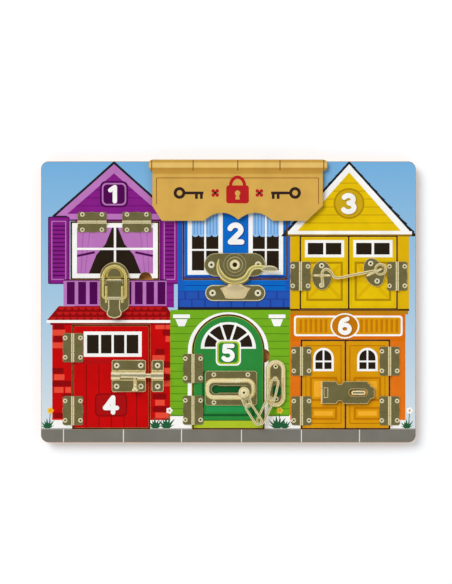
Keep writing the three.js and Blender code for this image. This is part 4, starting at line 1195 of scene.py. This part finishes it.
plate(rounded(-124.5, -88, -96.1, -61.9, 2.4))
half_tunnel(-124.5, -115.2)
half_tunnel(-115.2, -96.9, 90)
rail = [(BY - BORE, 1.1), (BY - BORE, 2.6), (BY - OUTER + 0.2, 2.6)] + [(BY - out, z) for out, z in FOOT[1:3]]
loft([[(x, y, z) for y, z in rail] for x in (-115.2, -96.9)], BRASS_HIGHLIGHT)
half_tunnel(-96.9, -88)
screws((-119.1, -93.4), (-90.1, -67.9), 3.0)
build("bolt_guide", "red_door", 0.5)

plate(rounded(-81.9, -69, -96.1, -61.9, 2.4))
half_tunnel(-81.9, -69)
screws((-75.45,), (-90.1, -67.9), 3.0)
build("bolt_keeper", "board", 0.5)

rod((-123.6, BY, BZ), (-71.7, BY, BZ), 2.8, sides=28)
rod((-99.3, BY, BZ), (-99.3, -92, BZ), 1.8, sides=18)
knob = ((1.9, 86), (1.9, 90.2), (2.2, 91.2), (2.8, 92.2), (3.4, 93.1), (3.7, 93.9), (3.7, 94.6), (3.4, 95))
turned([((-99.3, -y, BZ), radius) for radius, y in knob], 22)
build("slide_bolt", "bolt")

# Chain latch
plate(rounded(-25, 30.9, -110.6, -73.5, 3.4), 0.8)
middle = rounded(-22, 26.1, -101.2, -84.5, 6.6, 10)
ridge = [(3.2, 1.1), (2.7, 1.9), (1.6, 3.1), (0.6, 3.9), (0.2, 4.1)]
ridge += [(-0.2, 4.0), (-1.2, 3.3), (-2.2, 2.3), (-2.6, 1.0)]
# The ridge's pale brass is a painted sheen
rim(middle, ridge, BRASS_SHEEN)
neck = -13.1 + 4.6 * cos(radians(50))
keyhole = [(neck, -89.7)] + arc(-13.1, -93.2, 4.6, 58, 302, 20)
keyhole += [(neck, -96.7), (20.1, -96.7), (20.1, -89.7)]
holed(rounded(-20, 24.2, -99.4, -86.4, 4.6), keyhole, 2.3, 2.9)
rim(keyhole, [(0.1, 2.8), (0.3, 3.1), (0.6, 3.1), (0.8, 2.8)])
# A dark green sheet under the slot: the door's green paint, darkened as painted shade
prism(box(-18.2, 21.4, -98.4, -88), 1.2, 1.3, paint(GREEN_DARK))
screws((-15.4, 20.9), (-107.3, -77.7), 2.5)
build("chain_track", "arched_door", 0.5)

TX, TY = 16.6, -93.2
lathe([(0, 0.9), (4.1, 0.9), (4.1, 2.1), (2.6, 2.1), (2.6, 5.0), (0, 5.0)], TX, TY, 24, [BRASS])
head = [(0, 4.5), (5.6, 4.5), (6.0, 5.0), (5.3, 6.1), (4.6, 6.5), (4.1, 6.2)]
head += [(3.6, 6.6), (2.7, 7.5), (1.9, 7.8), (1.2, 7.2), (0, 7.0)]
ends = ((TX, TY - 3.2), (20.4, -108.1))
# The knob's pale brass is a painted sheen and its dark centre painted shade
lathe(head, *ends[0], 32, [BRASS_SHEEN] * 9 + [RECESS_SHADE])
length = dist(*ends)
waist = length * 0.6
tab = [(0, -5.8), (waist, -5.2)] + arc(length, 0, 4.7, -80, 80, 14) + [(waist, 5.2), (0, 5.8)]
tab = from_to(*ends, tab)
tab_hole = from_to(*ends, arc(length - 2.2, 0, 1.7, 0, 340, 17))
holed(tab, tab_hole, 4.3, 5.3, BRASS_SHEEN)
rim(tab, [(0.0, 4.6), (0.1, 5.5), (-0.5, 6.0), (-0.9, 6.0), (-1.5, 5.2)])
rim(tab_hole, [(1.3, 5.2), (0.9, 5.7), (0.4, 5.7), (0.05, 5.2)])
build("chain_slider", "slider", 0.25)

# Where the chain's links meet, and each link's height
JOINTS = ((49.9, -83.2), (45.4, -103), (33, -128.6), (21, -110.2))
LEVELS = (8.0, 5.6, 8.0)


def chain_link(i):
    ends = JOINTS[i:i + 2]
    length = dist(*ends)
    wire = from_to(*ends, stadium(length / 2, 0, length + 2.2, 7.4, 8))
    # The link's pale wire brass is a painted highlight
    tube(at_height(wire, LEVELS[i]), 1.35, 18, WIRE_HIGHLIGHT, closed=True)


AX, AY = 50.6, -86.85
prism(stadium(AX, AY, 21.4, 50.9), 0, PLATE)
ridge = [(2.1, 0.9), (1.9, 1.7), (0.9, 3.0), (0.1, 3.5), (-0.5, 3.4), (-1.8, 2.4), (-2.9, 1.1)]
rim(stadium(AX, AY, 17.2, 46.7), ridge, BRASS_SHEEN)
# A dark green sheet inside the ring: green paint darkened as painted shade
prism(stadium(51.6, -95, 9, 13), 1.2, 1.35, paint(GREEN_DARK))
screw(AX, -68.9, radius=2.6)
screw(51.2, -103.6, radius=2.6)
rod((50, -82, 1.4), (50, -82, 7.6), 1.0, sides=16)
lathe([(2.6, 1.1), (2.5, 1.8), (1.6, 2.3), (1.0, 2.4)], 50, -82, 20)
chain_link(0)
build("chain_anchor", "board", 0.4)
for i, body in ((1, "first_link"), (2, "second_link")):
    chain_link(i)
    build(f"chain_link_{i}", body)

# Hasp, centred on y HY, with its hinge pin at x PX and height PZ and its staple at x STAPLE_X
HY = -96.6
PX, PZ = 100.1, 1.6
STAPLE_X = 138.3
half = [(101.9, -4.9), (PX, -4.9), (PX, -12.1)] + arc(118.8, -12.1, 3.3, 180, 0, 12)
half += [(147.8, -12.1), (152.2, -6.6), (155.4, -5.6), (155.8, -5)]
strap = shifted(mirrored(half, 1, -1), 0, HY)
holed(strap, stadium(STAPLE_X, HY, 18.8, 6.9, 10), 1.7, 3.1)
trim(strap, 3.1, 0.8)
rim(stadium(STAPLE_X, HY, 19.6, 7.7, 10), [(0.5, 3.0), (0.2, 3.4), (-0.25, 3.4), (-0.4, 3.0)])
for low, high in ((HY - 12.1, HY - 4.9), (HY + 4.9, HY + 12.1)):
    rod((PX, low, PZ), (PX, high, PZ), 1.6)
rod((PX, HY - 6, PZ), (PX, HY + 6, PZ), 0.75, sides=12)
knuckle = [(101.9, HY - 5.2), (106, HY - 5.2), (106, HY + 5.2), (101.9, HY + 5.2)]
tube(at_height(knuckle, 3.1), 0.45, 8)
build("hasp_strap", "strap", 0.55, 3)

prism(box(102, 117.1, HY - 8.6, HY + 8.6), 0, 1.4)
prism(box(PX, 103.1, HY - 4.6, HY + 4.6), 0, 1.2)
rod((PX, HY - 4.1, PZ), (PX, HY + 4.1, PZ), 1.5)
build("hasp_base", "left_door_6", 0.2)

post = [(3.1, 0.0), (3.1, 1.0), (2.6, 1.3), (1.6, 1.4), (1.5, 1.6), (1.5, 6.4)]
lathe(post, STAPLE_X, HY, 24)
prism(stadium(STAPLE_X, HY, 14.4, 3.6, 10), 5.2, 6.7)
bar = [(1.0, 5.2), (1.05, 6.4), (0.7, 7.2), (0.1, 7.6), (-0.5, 7.2), (-0.6, 6.5), (-0.6, 5.2)]
rim(stadium(STAPLE_X, HY, 13.2, 2.6, 10), bar)
build("hasp_staple", "staple", 0.2)

# Carried-over wooden nodes: sanded wood with a softened edge, and the plain card
OTHER_SIDES = {"header_card": CARD_SIDE, "back_board": BACK_WOOD, "front_board": BOARD_WOOD}
for name in (
    "back_board", "front_board", "window_1_flap", "window_2_flap", "door_3_left", "door_3_right",
    "door_4", "door_5", "door_6_left", "door_6_right", "header_card",
):
    node = nodes[name]
    node.data.materials.clear()
    node.data.materials.append(OTHER_SIDES.get(name, DOOR_WOOD))
    if name != "header_card":
        soften(node, "softened", 0.3, 2, 50)

# Floor, six metres square
floor_mesh = bpy.data.meshes.new("floor")
floor_mesh.from_pydata(at_height(box(-3, 3, -3, 3), 0), [], [(0, 1, 2, 3)])
floor = placed("floor", floor_mesh)
floor.location = (0, 0, -0.0004)
floor_material, tree, shader = new_material("studio_floor")
floor_mesh.materials.append(floor_material)
put(shader, {"Base Color": (0.885, 0.915, 0.945, 1), "Roughness": 0.9})
# A glow that only the camera, reflections and clear pieces would see keeps the backdrop white
rays = new_node(tree, "LightPath")
seen = rays.outputs["Is Camera Ray"]
for kind in ("Is Glossy Ray", "Is Transmission Ray"):
    either = new_node(tree, "Math")
    either.operation = "MAXIMUM"
    link(seen, either.inputs[0])
    link(rays.outputs[kind], either.inputs[1])
    seen = either.outputs["Value"]
glow = new_node(tree, "Emission", {"Strength": 0.16})
total = new_node(tree, "AddShader")
both = new_node(tree, "MixShader")
link(shader.outputs["BSDF"], total.inputs[0])
link(glow.outputs["Emission"], total.inputs[1])
link(seen, both.inputs["Fac"])
link(shader.outputs["BSDF"], both.inputs[1])
link(total.outputs["Shader"], both.inputs[2])
link(both.outputs["Shader"], tree.nodes["Material Output"].inputs["Surface"])

# Soft room light: white at the horizon and dim overhead
world = bpy.data.worlds.new("studio")
bpy.context.scene.world = world
world.use_nodes = True
tree = world.node_tree
background = tree.nodes["Background"]
stops = [(0.0, (1, 1, 1, 1)), (1.0, (0.19, 0.187, 0.182, 1))]
stops += [(0.62, (0.95, 0.95, 0.95, 1)), (0.88, (0.32, 0.317, 0.308, 1))]
link(ramp(tree, axis(tree, "Generated", "Z"), stops), background.inputs["Color"])
put(background, {"Strength": 0.84})

# A wide soft sun from the upper left throws the board's shadow to the lower right
sun_data = bpy.data.lights.new("key", "SUN")
sun_data.energy = 1.95
sun_data.angle = radians(36)
sun = placed("key", sun_data)
sun.visible_glossy = False
sun.rotation_euler = Vector((0.74, -0.74, -1.0)).to_track_quat("-Z", "Y").to_euler()

# The board fills the photograph from x 41 to 415.7 and y 161.6 to 442.2, seen from straight in front
WIDTH, HEIGHT = 452, 584
BOARD_X, BOARD_Y = 228.35, 301.9
PIXEL = 1.0675 * MM
DISTANCE = 1.6
SENSOR = 24
camera_data = bpy.data.cameras.new("camera")
camera = placed("camera", camera_data)
bpy.context.scene.camera = camera
camera_data.sensor_fit = "VERTICAL"
camera_data.sensor_height = SENSOR
camera_data.lens = SENSOR * (DISTANCE - FACE * MM) / (HEIGHT * PIXEL)
camera.location = ((WIDTH / 2 - BOARD_X) * PIXEL, (BOARD_Y - HEIGHT / 2) * PIXEL, DISTANCE)
camera_data.clip_start = 0.01

bpy.context.scene.view_settings.view_transform = "Standard"
